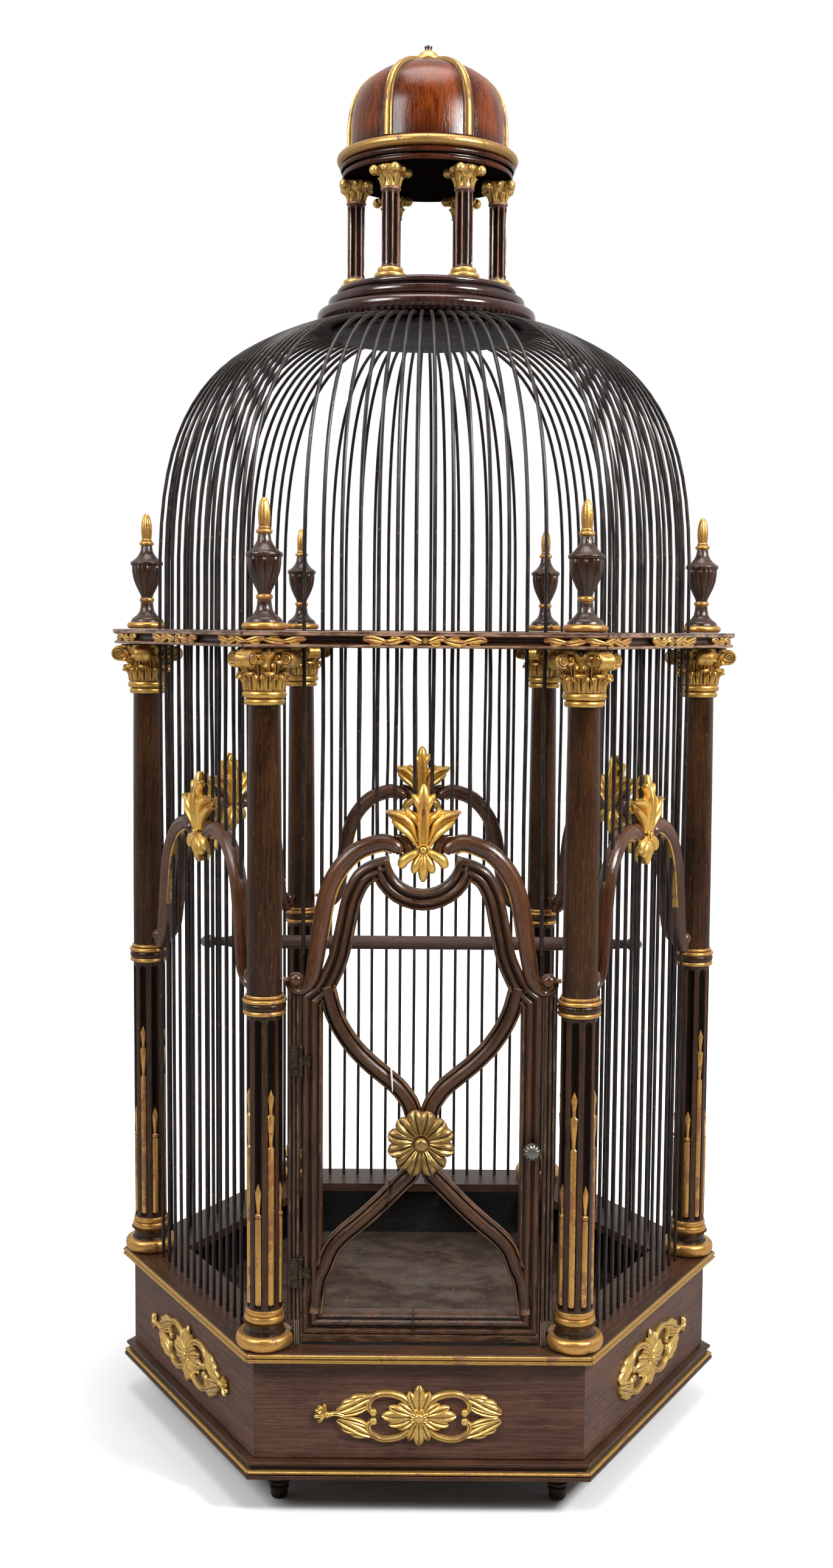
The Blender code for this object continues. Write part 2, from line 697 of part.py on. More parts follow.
def make_urns():
    low = CORNICE_Z + SEAT_GAP
    outside = scaled_profile(URN_PROFILE_SHARES, URN_RADIUS, low, URN_TALL)
    profile = [(0, low + URN_TALL)] + outside + [(0, low)]
    model = moved(baked(turned("urn", profile, URN_STEPS)), (COLUMN_CIRCLE, 0, 0))
    finish(model, WALNUT)
    return around(model, ["urn_" + name for name in CORNER_NAMES], FIRST_CORNER)


# Arches and wires


def bar_points():
    """The middle line of the right-hand bar of an arch, from its scroll to the leaf, as (x, height)."""
    return [(x * SCROLL_OFFSET, SCROLL_HEIGHT + z * ARCH_RISE) for x, z in BAR_SHARES]


def leaf_outline():
    half = [(x * LEAF_WIDTH / 2, LEAF_FOOT_HEIGHT + z * LEAF_TALL) for x, z in LEAF_SHARES]
    return mirrored(half)


def bar_height_at(x):
    """Height of the bar's middle line over x, or of the scroll's or leaf's middle beyond the bar's ends."""
    points = bar_points()
    if x >= points[0][0]:
        return SCROLL_HEIGHT
    for (x0, z0), (x1, z1) in zip(points, points[1:]):
        if x1 <= x <= x0:
            return z0 + (z1 - z0) * (x0 - x) / (x0 - x1)
    return LEAF_FOOT_HEIGHT + LEAF_TALL / 3


def clear_height_at(x):
    """Lowest height at which a wire at x stands clear of the arch below it."""
    reach = WIRE_RADIUS + SEAT_GAP
    heights = []
    points = bar_points()
    for (x0, z0), (x1, z1) in zip(points, points[1:]):
        for step in range(DOME_SEGMENTS + 1):
            share = step / DOME_SEGMENTS
            away = x - (x0 + (x1 - x0) * share)
            room = (BAR_RADIUS + reach) ** 2 - away ** 2
            if room > 0:
                heights.append(z0 + (z1 - z0) * share + math.sqrt(room))
    room = (SCROLL_RADIUS + reach) ** 2 - (x - SCROLL_OFFSET) ** 2
    if room > 0:
        heights.append(SCROLL_HEIGHT + math.sqrt(room))
    outline = leaf_outline()
    for (x0, z0), (x1, z1) in zip(outline, outline[1:] + outline[:1]):
        near = max(min(x0, x1), x - reach)
        far = min(max(x0, x1), x + reach)
        if near <= far:
            for edge_x in (near, far):
                share = (edge_x - x0) / (x1 - x0) if x1 != x0 else 0
                heights.append(z0 + (z1 - z0) * share + SEAT_GAP)
    return max(heights)


def make_arch_frame(name):
    """Two bars, their scrolls, the pins that hold the scrolls to the columns, and the leaf, all glued up."""
    leaf = plate(name, [lifted(leaf_outline())], -WIRE_PLANE - LEAF_DEPTH / 2, LEAF_DEPTH)
    bars = []
    scrolls = []
    pins = []
    for hand in (1, -1):
        path = [(hand * x, -WIRE_PLANE, BASE + z) for x, z in bar_points()]
        bars.append(rod("bar", path, BAR_RADIUS, 1))
        middle = Vector((hand * SCROLL_OFFSET, -WIRE_PLANE, BASE + SCROLL_HEIGHT))
        deep = Vector((0, SCROLL_DEPTH / 2, 0))
        scrolls.append(drum("scroll", SCROLL_RADIUS, middle - deep, middle + deep, SCROLL_SIDES))
        end_x = hand * (HALF_SIDE - UPPER_SHAFT_RADIUS - SEAT_GAP)
        pins.append(drum("pin", SCROLL_PIN_RADIUS, middle, (end_x, -WIRE_PLANE, middle.z), SCROLL_PIN_SIDES))
    frame = combine(leaf, together("bars", bars), "UNION")
    frame = combine(frame, together("scrolls", scrolls), "UNION")
    return combine(frame, together("pins", pins), "UNION")


def make_arches():
    """The front arch is open for the door. The other five hold a row of short wires below them."""
    front = finish(make_arch_frame("arch_front"), WALNUT)
    wires = []
    for x in wire_offsets():
        top = BASE + bar_height_at(abs(x))
        ends = [(x, -WIRE_PLANE, BASE + SEAT_GAP), (x, -WIRE_PLANE, top)]
        wires.append(rod("lower_wire", ends, WIRE_RADIUS, 0))
    model = combine(make_arch_frame("arch_side"), together("lower_wires", wires), "UNION")
    finish(model, WALNUT)
    return [front] + around(model, ["arch_" + name for name in FACE_NAMES[1:]], SIDE_ANGLE)


def dome_wire(index):
    """The path of one long wire: up from the arch, through the cornice and over the dome to the hoop."""
    x = wire_offsets()[index]
    foot = Vector((x, -WIRE_PLANE, BASE + clear_height_at(abs(x))))
    start = Vector((x, -WIRE_PLANE, CORNICE_Z))
    angle = (index - (WIRES_PER_SIDE - 1) / 2) * SIDE_ANGLE / WIRES_PER_SIDE - TURN / 4
    end = Vector((HOOP_CIRCLE * math.cos(angle), HOOP_CIRCLE * math.sin(angle), CORNICE_Z))
    path = [foot, start]
    for step in range(1, DOME_SEGMENTS + 1):
        quarter = step / DOME_SEGMENTS * TURN / 4
        place = end + (start - end) * math.cos(quarter)
        place.z = CORNICE_Z + DOME_RISE * math.sin(quarter) ** (2 / DOME_POWER)
        path.append(place)
    return path


def lowest_wire_over(radius):
    """Height of the dome's wires over a small radius, on the last stretch of the middle ones."""
    quarter = (DOME_SEGMENTS - 1) / DOME_SEGMENTS * TURN / 4
    outer = HOOP_CIRCLE + (WIRE_PLANE - HOOP_CIRCLE) * math.cos(quarter)
    outer_z = CORNICE_Z + DOME_RISE * math.sin(quarter) ** (2 / DOME_POWER)
    return DOME_Z + (outer_z - DOME_Z) * (radius - HOOP_CIRCLE) / (outer - HOOP_CIRCLE)


def make_wires():
    """Each side's long wires, soldered to a piece of hoop inside the collar."""
    margin = SEAT_GAP / HOOP_CIRCLE
    hoop_path = []
    for step in range(HOOP_SEGMENTS + 1):
        angle = -TURN / 4 - SIDE_ANGLE / 2 + margin + (SIDE_ANGLE - 2 * margin) * step / HOOP_SEGMENTS
        hoop_path.append((HOOP_CIRCLE * math.cos(angle), HOOP_CIRCLE * math.sin(angle), DOME_Z))
    hoop = rod("hoop", hoop_path, HOOP_RADIUS, 0)
    wires = [rod("wire", dome_wire(index), WIRE_RADIUS, 0) for index in range(WIRES_PER_SIDE)]
    model = combine(hoop, together("long_wires", wires), "UNION")
    finish(model, WIRE_IRON)
    return around(model, ["wires_" + name for name in FACE_NAMES], 0)


# The door


def door_outline(foot):
    """The door's edge, anticlockwise from its lower left corner as seen from the front."""
    run = DOOR_HALF_WIDTH - NOTCH_RADIUS
    rise = DOOR_PEAK_HEIGHT - DOOR_SHOULDER_HEIGHT
    right = [(DOOR_HALF_WIDTH, foot), (DOOR_HALF_WIDTH, DOOR_SHOULDER_HEIGHT)]
    right += [(NOTCH_RADIUS + x * run, DOOR_SHOULDER_HEIGHT + z * rise) for x, z in SHOULDER_SHARES]
    notch = []
    for step in range(NOTCH_STEPS + 1):
        angle = -math.pi * step / NOTCH_STEPS
        notch.append((NOTCH_RADIUS * math.cos(angle), DOOR_PEAK_HEIGHT + NOTCH_RADIUS * math.sin(angle)))
    left = [(-x, z) for x, z in right]
    return right + notch + left[::-1]


def lifted(outline):
    return [(x, BASE + z) for x, z in outline]


def pane_outline():
    return inset(door_outline(DOOR_FOOT_HEIGHT + RAIL_WIDTH - FRAME_WIDTH), FRAME_WIDTH)


def hinge_knuckle(height, low_share, high_share, radius):
    low = BASE + height + low_share * HINGE_LENGTH
    high = BASE + height + high_share * HINGE_LENGTH
    return drum("knuckle", radius, (HINGE_X, HINGE_Y, low), (HINGE_X, HINGE_Y, high), HINGE_SIDES)


def make_door_frame():
    """Moulded frame with the crossed struts, and the middle knuckles of both hinges."""
    frame = plate("door_frame", [lifted(door_outline(DOOR_FOOT_HEIGHT))], DOOR_FRONT, DOOR_THICKNESS)
    cut_depth = DOOR_THICKNESS + 2 * CUT_OVERRUN
    pane = plate("pane_cut", [lifted(pane_outline())], DOOR_FRONT - CUT_OVERRUN, cut_depth)
    frame = combine(frame, pane, "DIFFERENCE")
    strut_front = DOOR_FRONT + STRUT_SET_BACK
    hub_middle = Vector((0, strut_front, BASE + HUB_HEIGHT))
    deep = Vector((0, STRUT_DEPTH, 0))
    struts = drum("struts", HUB_RADIUS, hub_middle, hub_middle + deep, HUB_SIDES)
    rise = DOOR_SHOULDER_HEIGHT - HUB_HEIGHT
    drop = HUB_HEIGHT - DOOR_FOOT_HEIGHT
    for hand in (1, -1):
        points = [(-hand * x * DOOR_HALF_WIDTH, HUB_HEIGHT + z * rise) for x, z in UPPER_STRUT_SHARES]
        points.append((0, HUB_HEIGHT))
        points += [(hand * x * DOOR_HALF_WIDTH, HUB_HEIGHT - z * drop) for x, z in LOWER_STRUT_SHARES]
        arm = plate("strut", [lifted(strip(points, STRUT_WIDTH))], strut_front, STRUT_DEPTH)
        struts = combine(struts, arm, "UNION")
    frame = combine(frame, struts, "UNION")
    for height in HINGE_HEIGHTS:
        low = BASE + height + HINGE_LENGTH / 3 + SEAT_GAP
        high = BASE + height + HINGE_LENGTH * 2 / 3 - SEAT_GAP
        lug_low = (HINGE_X, HINGE_Y, low)
        lug_high = (HINGE_X + HINGE_LEAF_WIDTH, DOOR_FRONT + JOIN_OVERLAP, high)
        ends = ((HINGE_X, HINGE_Y, low), (HINGE_X, HINGE_Y, high))
        barrel = drum("knuckle", HINGE_BARREL_RADIUS, *ends, HINGE_SIDES)
        barrel = combine(barrel, block("lug", lug_low, lug_high), "UNION")
        bore = hinge_knuckle(height, 0, 1, HINGE_BORE_RADIUS)
        frame = combine(frame, combine(barrel, bore, "DIFFERENCE"), "UNION")
    knob_hole_front = (KNOB_OFFSET, DOOR_FRONT - CUT_OVERRUN, BASE + KNOB_HEIGHT)
    knob_hole_back = (KNOB_OFFSET, DOOR_BACK + CUT_OVERRUN, BASE + KNOB_HEIGHT)
    hole_radius = SPINDLE_RADIUS + SPINDLE_CLEARANCE
    hole = drum("spindle_hole", hole_radius, knob_hole_front, knob_hole_back, HINGE_SIDES)
    return finish(combine(frame, hole, "DIFFERENCE"), WALNUT)


def make_glass():
    front = DOOR_FRONT + STRUT_SET_BACK + STRUT_DEPTH + SEAT_GAP
    glass = plate("door_glass", [lifted(inset(pane_outline(), SEAT_GAP))], front, GLASS_THICKNESS)
    return finish(glass, GLASS)


def make_rosette():
    outline = []
    for step in range(2 * ROSETTE_PETALS):
        angle = step * math.pi / ROSETTE_PETALS
        radius = ROSETTE_RADIUS * (1 if step % 2 == 0 else ROSETTE_SCALLOP_SHARE)
        outline.append((radius * math.sin(angle), HUB_HEIGHT + radius * math.cos(angle)))
    back = DOOR_FRONT + STRUT_SET_BACK - SEAT_GAP - JOIN_OVERLAP / 2
    petals = plate("door_rosette", [lifted(outline)], back - ROSETTE_DEPTH, ROSETTE_DEPTH)
    stub_end = DOOR_FRONT + STRUT_SET_BACK - SEAT_GAP
    stub_start = (0, back - JOIN_OVERLAP, BASE + HUB_HEIGHT)
    stub = drum("rosette_stub", ROSETTE_BOSS_RADIUS, stub_start, (0, stub_end, BASE + HUB_HEIGHT), HUB_SIDES)
    petals = combine(petals, stub, "UNION")
    boss_start = (0, back - ROSETTE_DEPTH / 2, BASE + HUB_HEIGHT)
    boss_end = (0, back - ROSETTE_DEPTH - ROSETTE_BOSS_RADIUS / 2, BASE + HUB_HEIGHT)
    boss_radius = ROSETTE_BOSS_RADIUS * ROSETTE_SCALLOP_SHARE
    boss = drum("rosette_boss", boss_radius, boss_start, boss_end, ROSETTE_PETALS)
    return finish(combine(petals, boss, "UNION"), GILT)


def make_knob():
    """Fluted knob, its spindle through the stile, and the tongue that turns behind the post."""
    front = DOOR_FRONT - SEAT_GAP
    back = DOOR_BACK + SEAT_GAP
    outside = scaled_profile(KNOB_PROFILE_SHARES, KNOB_RADIUS, 0, KNOB_LENGTH)
    profile = [(0, KNOB_LENGTH)] + outside + [(0, 0)]
    knob = baked(turned("door_knob", profile, KNOB_STEPS))
    place = Matrix.Translation((KNOB_OFFSET, front, BASE + KNOB_HEIGHT))
    knob.data.transform(place @ Matrix.Rotation(TURN / 4, 4, "X"))
    spindle_front = (KNOB_OFFSET, front - JOIN_OVERLAP, BASE + KNOB_HEIGHT)
    spindle_back = (KNOB_OFFSET, back + TONGUE_THICKNESS / 2, BASE + KNOB_HEIGHT)
    spindle = drum("spindle", SPINDLE_RADIUS, spindle_front, spindle_back, KNOB_STEPS)
    knob = combine(knob, spindle, "UNION")
    low = (KNOB_OFFSET - TONGUE_WIDTH / 2, back, BASE + KNOB_HEIGHT - TONGUE_LENGTH)
    high = (KNOB_OFFSET + TONGUE_WIDTH / 2, back + TONGUE_THICKNESS, BASE + KNOB_HEIGHT + TONGUE_WIDTH / 2)
    knob = combine(knob, block("tongue", low, high), "UNION")
    return finish(knob, PEWTER)


def make_posts():
    """The two upright posts of the doorway, coped over the feet of the columns, under the arch's scrolls."""
    top = BASE + bar_points()[0][1] - BAR_RADIUS - SEAT_GAP
    posts = []
    for hand, name in ((-1, "door_post_left"), (1, "door_post_right")):
        edges = sorted((hand * POST_INNER, hand * POST_OUTER))
        low = (edges[0], DOOR_FRONT, BASE + SEAT_GAP)
        high = (edges[1], DOOR_BACK, top)
        axis = Vector((hand * HALF_SIDE, -WIRE_PLANE, 0))
        foot_low = axis + Vector((0, 0, BASE - CUT_OVERRUN))
        foot_high = axis + Vector((0, 0, BASE + COLUMN_RING_HEIGHT))
        foot = drum("foot_cope", COLUMN_FOOT_RADIUS / FACE_SHARE, foot_low, foot_high, COLUMN_STEPS)
        ring_high = axis + Vector((0, 0, BASE + COLUMN_BASE_HEIGHT + SEAT_GAP))
        ring = drum("ring_cope", COLUMN_RING_RADIUS + JOIN_OVERLAP, foot_low, ring_high, COLUMN_STEPS)
        post = combine(block(name, low, high), foot, "DIFFERENCE")
        posts.append(finish(combine(post, ring, "DIFFERENCE"), WALNUT))
    return posts


def make_hinges():
    """The post's half of each hinge: a leaf, the two outer knuckles and the pin."""
    hinges = []
    for height, name in zip(HINGE_HEIGHTS, ("hinge_lower", "hinge_upper")):
        low = BASE + height
        high = low + HINGE_LENGTH
        leaf_front = DOOR_FRONT - SEAT_GAP - HINGE_LEAF_THICKNESS
        leaf_back = DOOR_FRONT - SEAT_GAP
        leaf_edge = HINGE_X - HINGE_BARREL_RADIUS - 2 * SEAT_GAP
        leaf = block(name, (HINGE_X - HINGE_LEAF_WIDTH, leaf_front, low), (leaf_edge, leaf_back, high))
        for low_share, high_share in ((0, 1 / 3), (2 / 3, 1)):
            tab_low = (leaf_edge - HINGE_LEAF_THICKNESS, leaf_front, low + low_share * HINGE_LENGTH)
            tab_high = (HINGE_X, leaf_back, low + high_share * HINGE_LENGTH)
            knuckle = hinge_knuckle(height, low_share, high_share, HINGE_BARREL_RADIUS)
            leaf = combine(leaf, combine(knuckle, block("tab", tab_low, tab_high), "UNION"), "UNION")
        pin = hinge_knuckle(height, 1 / 6, 5 / 6, HINGE_PIN_RADIUS)
        hinges.append(finish(combine(leaf, pin, "UNION"), BRASS))
    return hinges


# Inside and on top


def make_perch():
    """A round perch whose necks lie between two wires at each end, with a bud outside the wires."""
    along = PERCH_BAY * WIRE_PITCH
    back_left = TURN / 4 + SIDE_ANGLE
    outward = Vector((math.cos(back_left), math.sin(back_left)))
    tangent = Vector((outward.y, -outward.x)) * -1
    crossing = outward * WIRE_PLANE + tangent * along
    neck_radius = WIRE_PITCH / 2 * FACE_SHARE - WIRE_RADIUS - SEAT_GAP
    neck_reach = WIRE_PITCH / 4 + WIRE_RADIUS + SEAT_GAP
    neck_middle = abs(crossing.x)
    inner = neck_middle - neck_reach
    outer = neck_middle + neck_reach
    half = outer + PERCH_BUD_LENGTH
    right = [
        (0, half),
        (PERCH_BUD_RADIUS / 2, half - PERCH_BUD_LENGTH / 6),
        (PERCH_BUD_RADIUS, outer + PERCH_BUD_LENGTH / 2),
        (neck_radius, outer),
        (neck_radius, inner),
        (PERCH_RADIUS, inner - PERCH_RADIUS),
    ]
    left = [(radius, -place) for radius, place in right]
    perch = baked(turned("perch", right + left[::-1], PERCH_STEPS))
    turn = Matrix.Rotation(TURN / 4, 4, "Y")
    perch.data.transform(Matrix.Translation((0, crossing.y, BASE + PERCH_HEIGHT)) @ turn)
    return finish(perch, WALNUT)


def make_collar():
    profile = [(0, COLLAR_Z + COLLAR_TALL)]
    profile += scaled_profile(COLLAR_PROFILE_SHARES, COLLAR_RADIUS, COLLAR_Z, COLLAR_TALL) + [(0, COLLAR_Z)]
    return finish(baked(turned("dome_collar", profile, COLLAR_STEPS)), MAHOGANY)


def make_disc():
    """The disc that clamps the hoop and the wire ends against the collar."""
    boss_top = COLLAR_Z - SEAT_GAP
    top = min(DOME_Z - HOOP_RADIUS, lowest_wire_over(DISC_RADIUS) - WIRE_RADIUS) - SEAT_GAP
    low = top - DISC_THICKNESS
    boss = [(0, boss_top), (DISC_BOSS_RADIUS, boss_top), (DISC_BOSS_RADIUS, top)]
    profile = boss + [(DISC_RADIUS, top), (DISC_RADIUS, low), (0, low)]
    return finish(baked(turned("collar_disc", profile, COLLAR_STEPS)), WALNUT)


def make_lantern_columns():
    outside = scaled_profile(LANTERN_PROFILE_SHARES, LANTERN_RADIUS, 0, LANTERN_TALL)
    profile = [(0, LANTERN_TALL)] + outside + [(0, 0)]
    model = moved(baked(turned("lantern_column", profile, LANTERN_STEPS)), (LANTERN_CIRCLE, 0, LANTERN_Z))
    finish(model, MAHOGANY)
    return around(model, ["lantern_column_" + name for name in CORNER_NAMES], FIRST_CORNER)


def make_cupola():
    profile = []
    for step in range(CUPOLA_DOME_SEGMENTS + 1):
        quarter = (1 - step / CUPOLA_DOME_SEGMENTS) * TURN / 4
        level = CUPOLA_DOME_Z + CUPOLA_DOME_RISE * math.sin(quarter) ** (2 / CUPOLA_DOME_POWER)
        profile.append((DOME_RADIUS * math.cos(quarter), level))
    profile[0] = (0, profile[0][1])
    profile += scaled_profile(CUPOLA_RING_SHARES, CUPOLA_RADIUS, CUPOLA_Z, CUPOLA_RING_TALL)
    profile.append((0, CUPOLA_Z))
    return finish(baked(turned("cupola", profile, CUPOLA_STEPS)), MAHOGANY)


def make_finial():
    low = CUPOLA_DOME_Z + CUPOLA_DOME_RISE + SEAT_GAP
    outside = scaled_profile(FINIAL_PROFILE_SHARES, FINIAL_RADIUS, low, FINIAL_TALL)
    profile = [(0, low + FINIAL_TALL)] + outside + [(0, low)]
    return finish(baked(turned("finial", profile, FINIAL_STEPS)), GILT)


def main():
    make_plinth()
    make_box()
    make_floor()
    make_base_top()
    make_ornaments()
    make_columns()
    make_capitals()
    make_cornice()
    make_urns()
    make_arches()
    make_wires()
    door = [make_door_frame(), make_glass(), make_rosette()]
    latch = hang([make_knob()], "latch_axis", (KNOB_OFFSET, DOOR_FRONT, BASE + KNOB_HEIGHT))
    hang(door + [latch], "door_axis", (HINGE_X, HINGE_Y, BASE))
    make_posts()
    make_hinges()
    make_perch()
    make_collar()
    make_disc()
    make_lantern_columns()
    make_cupola()
    make_finial()


main()
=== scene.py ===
"""The antique birdcage as it stands in the photograph: dark walnut, old gilding, wire and glass."""

import math
import random

import bmesh
import bpy
from mathutils import Matrix, Vector


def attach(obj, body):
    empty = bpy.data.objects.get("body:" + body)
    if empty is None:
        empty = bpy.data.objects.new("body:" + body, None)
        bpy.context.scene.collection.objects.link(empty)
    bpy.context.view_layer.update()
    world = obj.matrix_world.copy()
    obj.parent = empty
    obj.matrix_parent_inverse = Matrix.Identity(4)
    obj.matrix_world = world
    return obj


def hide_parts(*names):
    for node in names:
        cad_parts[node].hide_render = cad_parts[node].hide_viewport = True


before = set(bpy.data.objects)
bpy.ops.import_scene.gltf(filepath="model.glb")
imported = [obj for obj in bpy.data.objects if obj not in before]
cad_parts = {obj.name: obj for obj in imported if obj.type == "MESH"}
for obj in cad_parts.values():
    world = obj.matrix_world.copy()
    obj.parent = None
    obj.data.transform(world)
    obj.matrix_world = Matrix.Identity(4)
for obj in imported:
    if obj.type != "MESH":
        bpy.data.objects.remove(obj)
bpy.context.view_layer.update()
scene = bpy.context.scene
scene.view_settings.view_transform = "Standard"
TURN = 2 * math.pi

# The camera stands a little over half way up the cage, 1.7 m in front of its axis, and looks
# slightly down.
CAMERA_PLACE = (-0.0062, -1.6997, 0.7754)
CAMERA_TILT = math.radians(5.176)
CAMERA_ROLL = math.radians(0.42)
camera_data = bpy.data.cameras.new("camera")
camera_data.lens = 39.67
camera_data.sensor_width = 36
camera_data.clip_end = 50
camera = bpy.data.objects.new("camera", camera_data)
scene.collection.objects.link(camera)
camera.matrix_world = (
    Matrix.Translation(CAMERA_PLACE)
    @ Matrix.Rotation(TURN / 4 - CAMERA_TILT, 4, "X")
    @ Matrix.Rotation(CAMERA_ROLL, 4, "Z")
)
scene.camera = camera

# A white studio: a sheet of white paper as the floor, soft lights high over the front, and a room
# that is white behind the cage and dim round the camera. Paper and room look white from anywhere.


class Signal:
    """A number, colour or vector that flows through a network of nodes, with plain arithmetic."""

    def __init__(self, network, socket):
        self.network = network
        self.socket = socket

    def __add__(self, other):
        return self.network.maths("ADD", self, other)

    def __mul__(self, other):
        return self.network.maths("MULTIPLY", self, other)

    def __sub__(self, other):
        return self.network.maths("SUBTRACT", self, other)

    def __rsub__(self, other):
        return self.network.maths("SUBTRACT", other, self)

    __radd__ = __add__
    __rmul__ = __mul__

    def between(self, low, high):
        """0 at low and 1 at high, with a smooth rise from one to the other."""
        settings = {"interpolation_type": "SMOOTHSTEP"}
        return self.network.add("MapRange", settings, {0: self, 1: low, 2: high})


class Network:
    """The nodes of a material or of the world, made one call at a time."""

    def __init__(self, owner, surface):
        owner.use_nodes = True
        self.tree = owner.node_tree
        self.surface = self.tree.nodes[surface]

    def feed(self, socket, value):
        if isinstance(value, Signal):
            self.tree.links.new(value.socket, socket)
        else:
            socket.default_value = (*value, 1) if socket.type == "RGBA" else value

    def set(self, name, value):
        self.feed(self.surface.inputs[name], value)

    def add(self, kind, settings, values, output=0):
        node = self.tree.nodes.new("ShaderNode" + kind)
        for name, value in settings.items():
            setattr(node, name, value)
        for place, value in values.items():
            self.feed(node.inputs[place], value)
        return Signal(self, node.outputs[output])

    def maths(self, operation, first, second):
        return self.add("Math", {"operation": operation}, {0: first, 1: second})

    def mix(self, share, first, second):
        return self.add("Mix", {"data_type": "RGBA"}, {0: share, 6: first, 7: second}, output=2)

    def coordinates(self, output):
        return self.add("TexCoord", {}, {}, output)

    def part(self, vector, axis):
        """One of the three parts of a vector: X, Y or Z."""
        return self.add("SeparateXYZ", {}, {0: vector}, axis)

    def seen(self, *rays):
        """1 for the rays named, such as those that the camera sends out, and 0 for all others."""
        found = self.add("LightPath", {}, {}, rays[0])
        for ray in rays[1:]:
            found = self.maths("MAXIMUM", found, self.add("LightPath", {}, {}, ray))
        return found


WHITE = (1, 1, 1)
BLACK = (0, 0, 0)
PAPER_SEEN = (0.93, 0.93, 0.93)
PAPER_LIT = (0.42, 0.42, 0.42)
SEEN_RAYS = ("Is Camera Ray", "Is Transmission Ray")
floor_mesh = bpy.data.meshes.new("studio_floor")
floor = bpy.data.objects.new("studio_floor", floor_mesh)
scene.collection.objects.link(floor)
form = bmesh.new()
bmesh.ops.create_grid(form, x_segments=1, y_segments=1, size=6)
form.to_mesh(floor_mesh)
form.free()
white_paper = bpy.data.materials.new("white_paper")
floor_mesh.materials.append(white_paper)
paper = Network(white_paper, "Principled BSDF")
away = paper.add("VectorMath", {"operation": "LENGTH"}, {0: paper.coordinates("Object")}, "Value")
glow = away.between(0.3, 0.62) * paper.seen(*SEEN_RAYS)
paper.set("Base Color", paper.mix(paper.seen("Is Camera Ray"), PAPER_LIT, PAPER_SEEN))
paper.set("Roughness", 0.9)
paper.set("Emission Color", paper.mix(glow, BLACK, WHITE))
paper.set("Emission Strength", 1.0)
world = bpy.data.worlds.new("studio")
scene.world = world
room = Network(world, "Background")
behind = room.part(room.coordinates("Generated"), "Y")
backdrop = room.seen(*SEEN_RAYS)
room.set("Color", WHITE)
room.set("Strength", backdrop + (1 - backdrop) * (behind.between(-0.62, 0.25) * 0.72 + 0.05))
CAGE_MIDDLE = Vector((0, 0, 0.65))
LIGHTS = (
    ("left_light", (-1.55, -1.35, 2.0), 0.9, 42),
    ("right_light", (1.4, -1.2, 1.8), 0.45, 58),
    ("top_light", (0, -0.35, 3.0), 1.4, 42),
)
for name, place, size, power in LIGHTS:
    light_data = bpy.data.lights.new(name, "AREA")
    light_data.shape = "SQUARE"
    light_data.size = size
    light_data.energy = power
    light = bpy.data.objects.new(name, light_data)
    scene.collection.objects.link(light)
    aim = CAGE_MIDDLE - Vector(place)
    light.matrix_world = Matrix.Translation(place) @ aim.to_track_quat("-Z", "Y").to_matrix().to_4x4()

# The base moulding: a hexagonal board on six turned feet, its edge a brown fillet over a gilt
# bead over a hollow. It is dark walnut, in six mitred lengths, with the bead gilded over red bole.
SIXTH = TURN / 6
FACES = ("front", "front_right", "back_right", "back", "back_left", "front_left")
CORNERS = ("front_right", "right", "back_right", "back_left", "left", "front_left")
FACE_TURNS = {name: Matrix.Rotation(index * SIXTH, 4, "Z") for index, name in enumerate(FACES)}
CORNER_TURNS = {name: Matrix.Rotation((index - 1) * SIXTH, 4, "Z") for index, name in enumerate(CORNERS)}
ONCE = {"": Matrix()}
MITRE = math.tan(SIXTH / 2)
MITRE_SHARES = (-1, -0.99, -0.5, 0, 0.5, 0.99, 1)
HAIRLINE = 0.00012
LONG_EDGE = 0.008
SHARP_EDGE = math.radians(35)
CUT_DEPTH = 0.002
NEXT_PIECE = Vector((0.731, 0.419, 0.287))
NEXT_BOARD = Vector((0.41, 0, 0))


class Finish(Network):
    """A material made of noise, attributes and its own arithmetic, and the slot that it fills."""

    def __init__(self, name, slot):
        self.material = bpy.data.materials.new(name)
        self.slot = slot
        super().__init__(self.material, "Principled BSDF")

    def attribute(self, name, output):
        return self.add("Attribute", {"attribute_name": name}, {}, output)

    def noise(self, place, swings, detail=3.0, roughness=0.5):
        """Noise from 0 to 1 that swings so many times a metre along each axis."""
        stretched = self.add("VectorMath", {"operation": "MULTIPLY"}, {0: place, 1: swings})
        values = {"Vector": stretched, "Scale": 1.0, "Detail": detail, "Roughness": roughness}
        return self.add("TexNoise", {}, values)

    def paint(self, colour):
        self.colour = colour
        self.set("Base Color", colour)

    def bump(self, height, distance, strength=1.0):
        values = {"Strength": strength, "Distance": distance, "Height": height}
        self.set("Normal", self.add("Bump", {}, values))


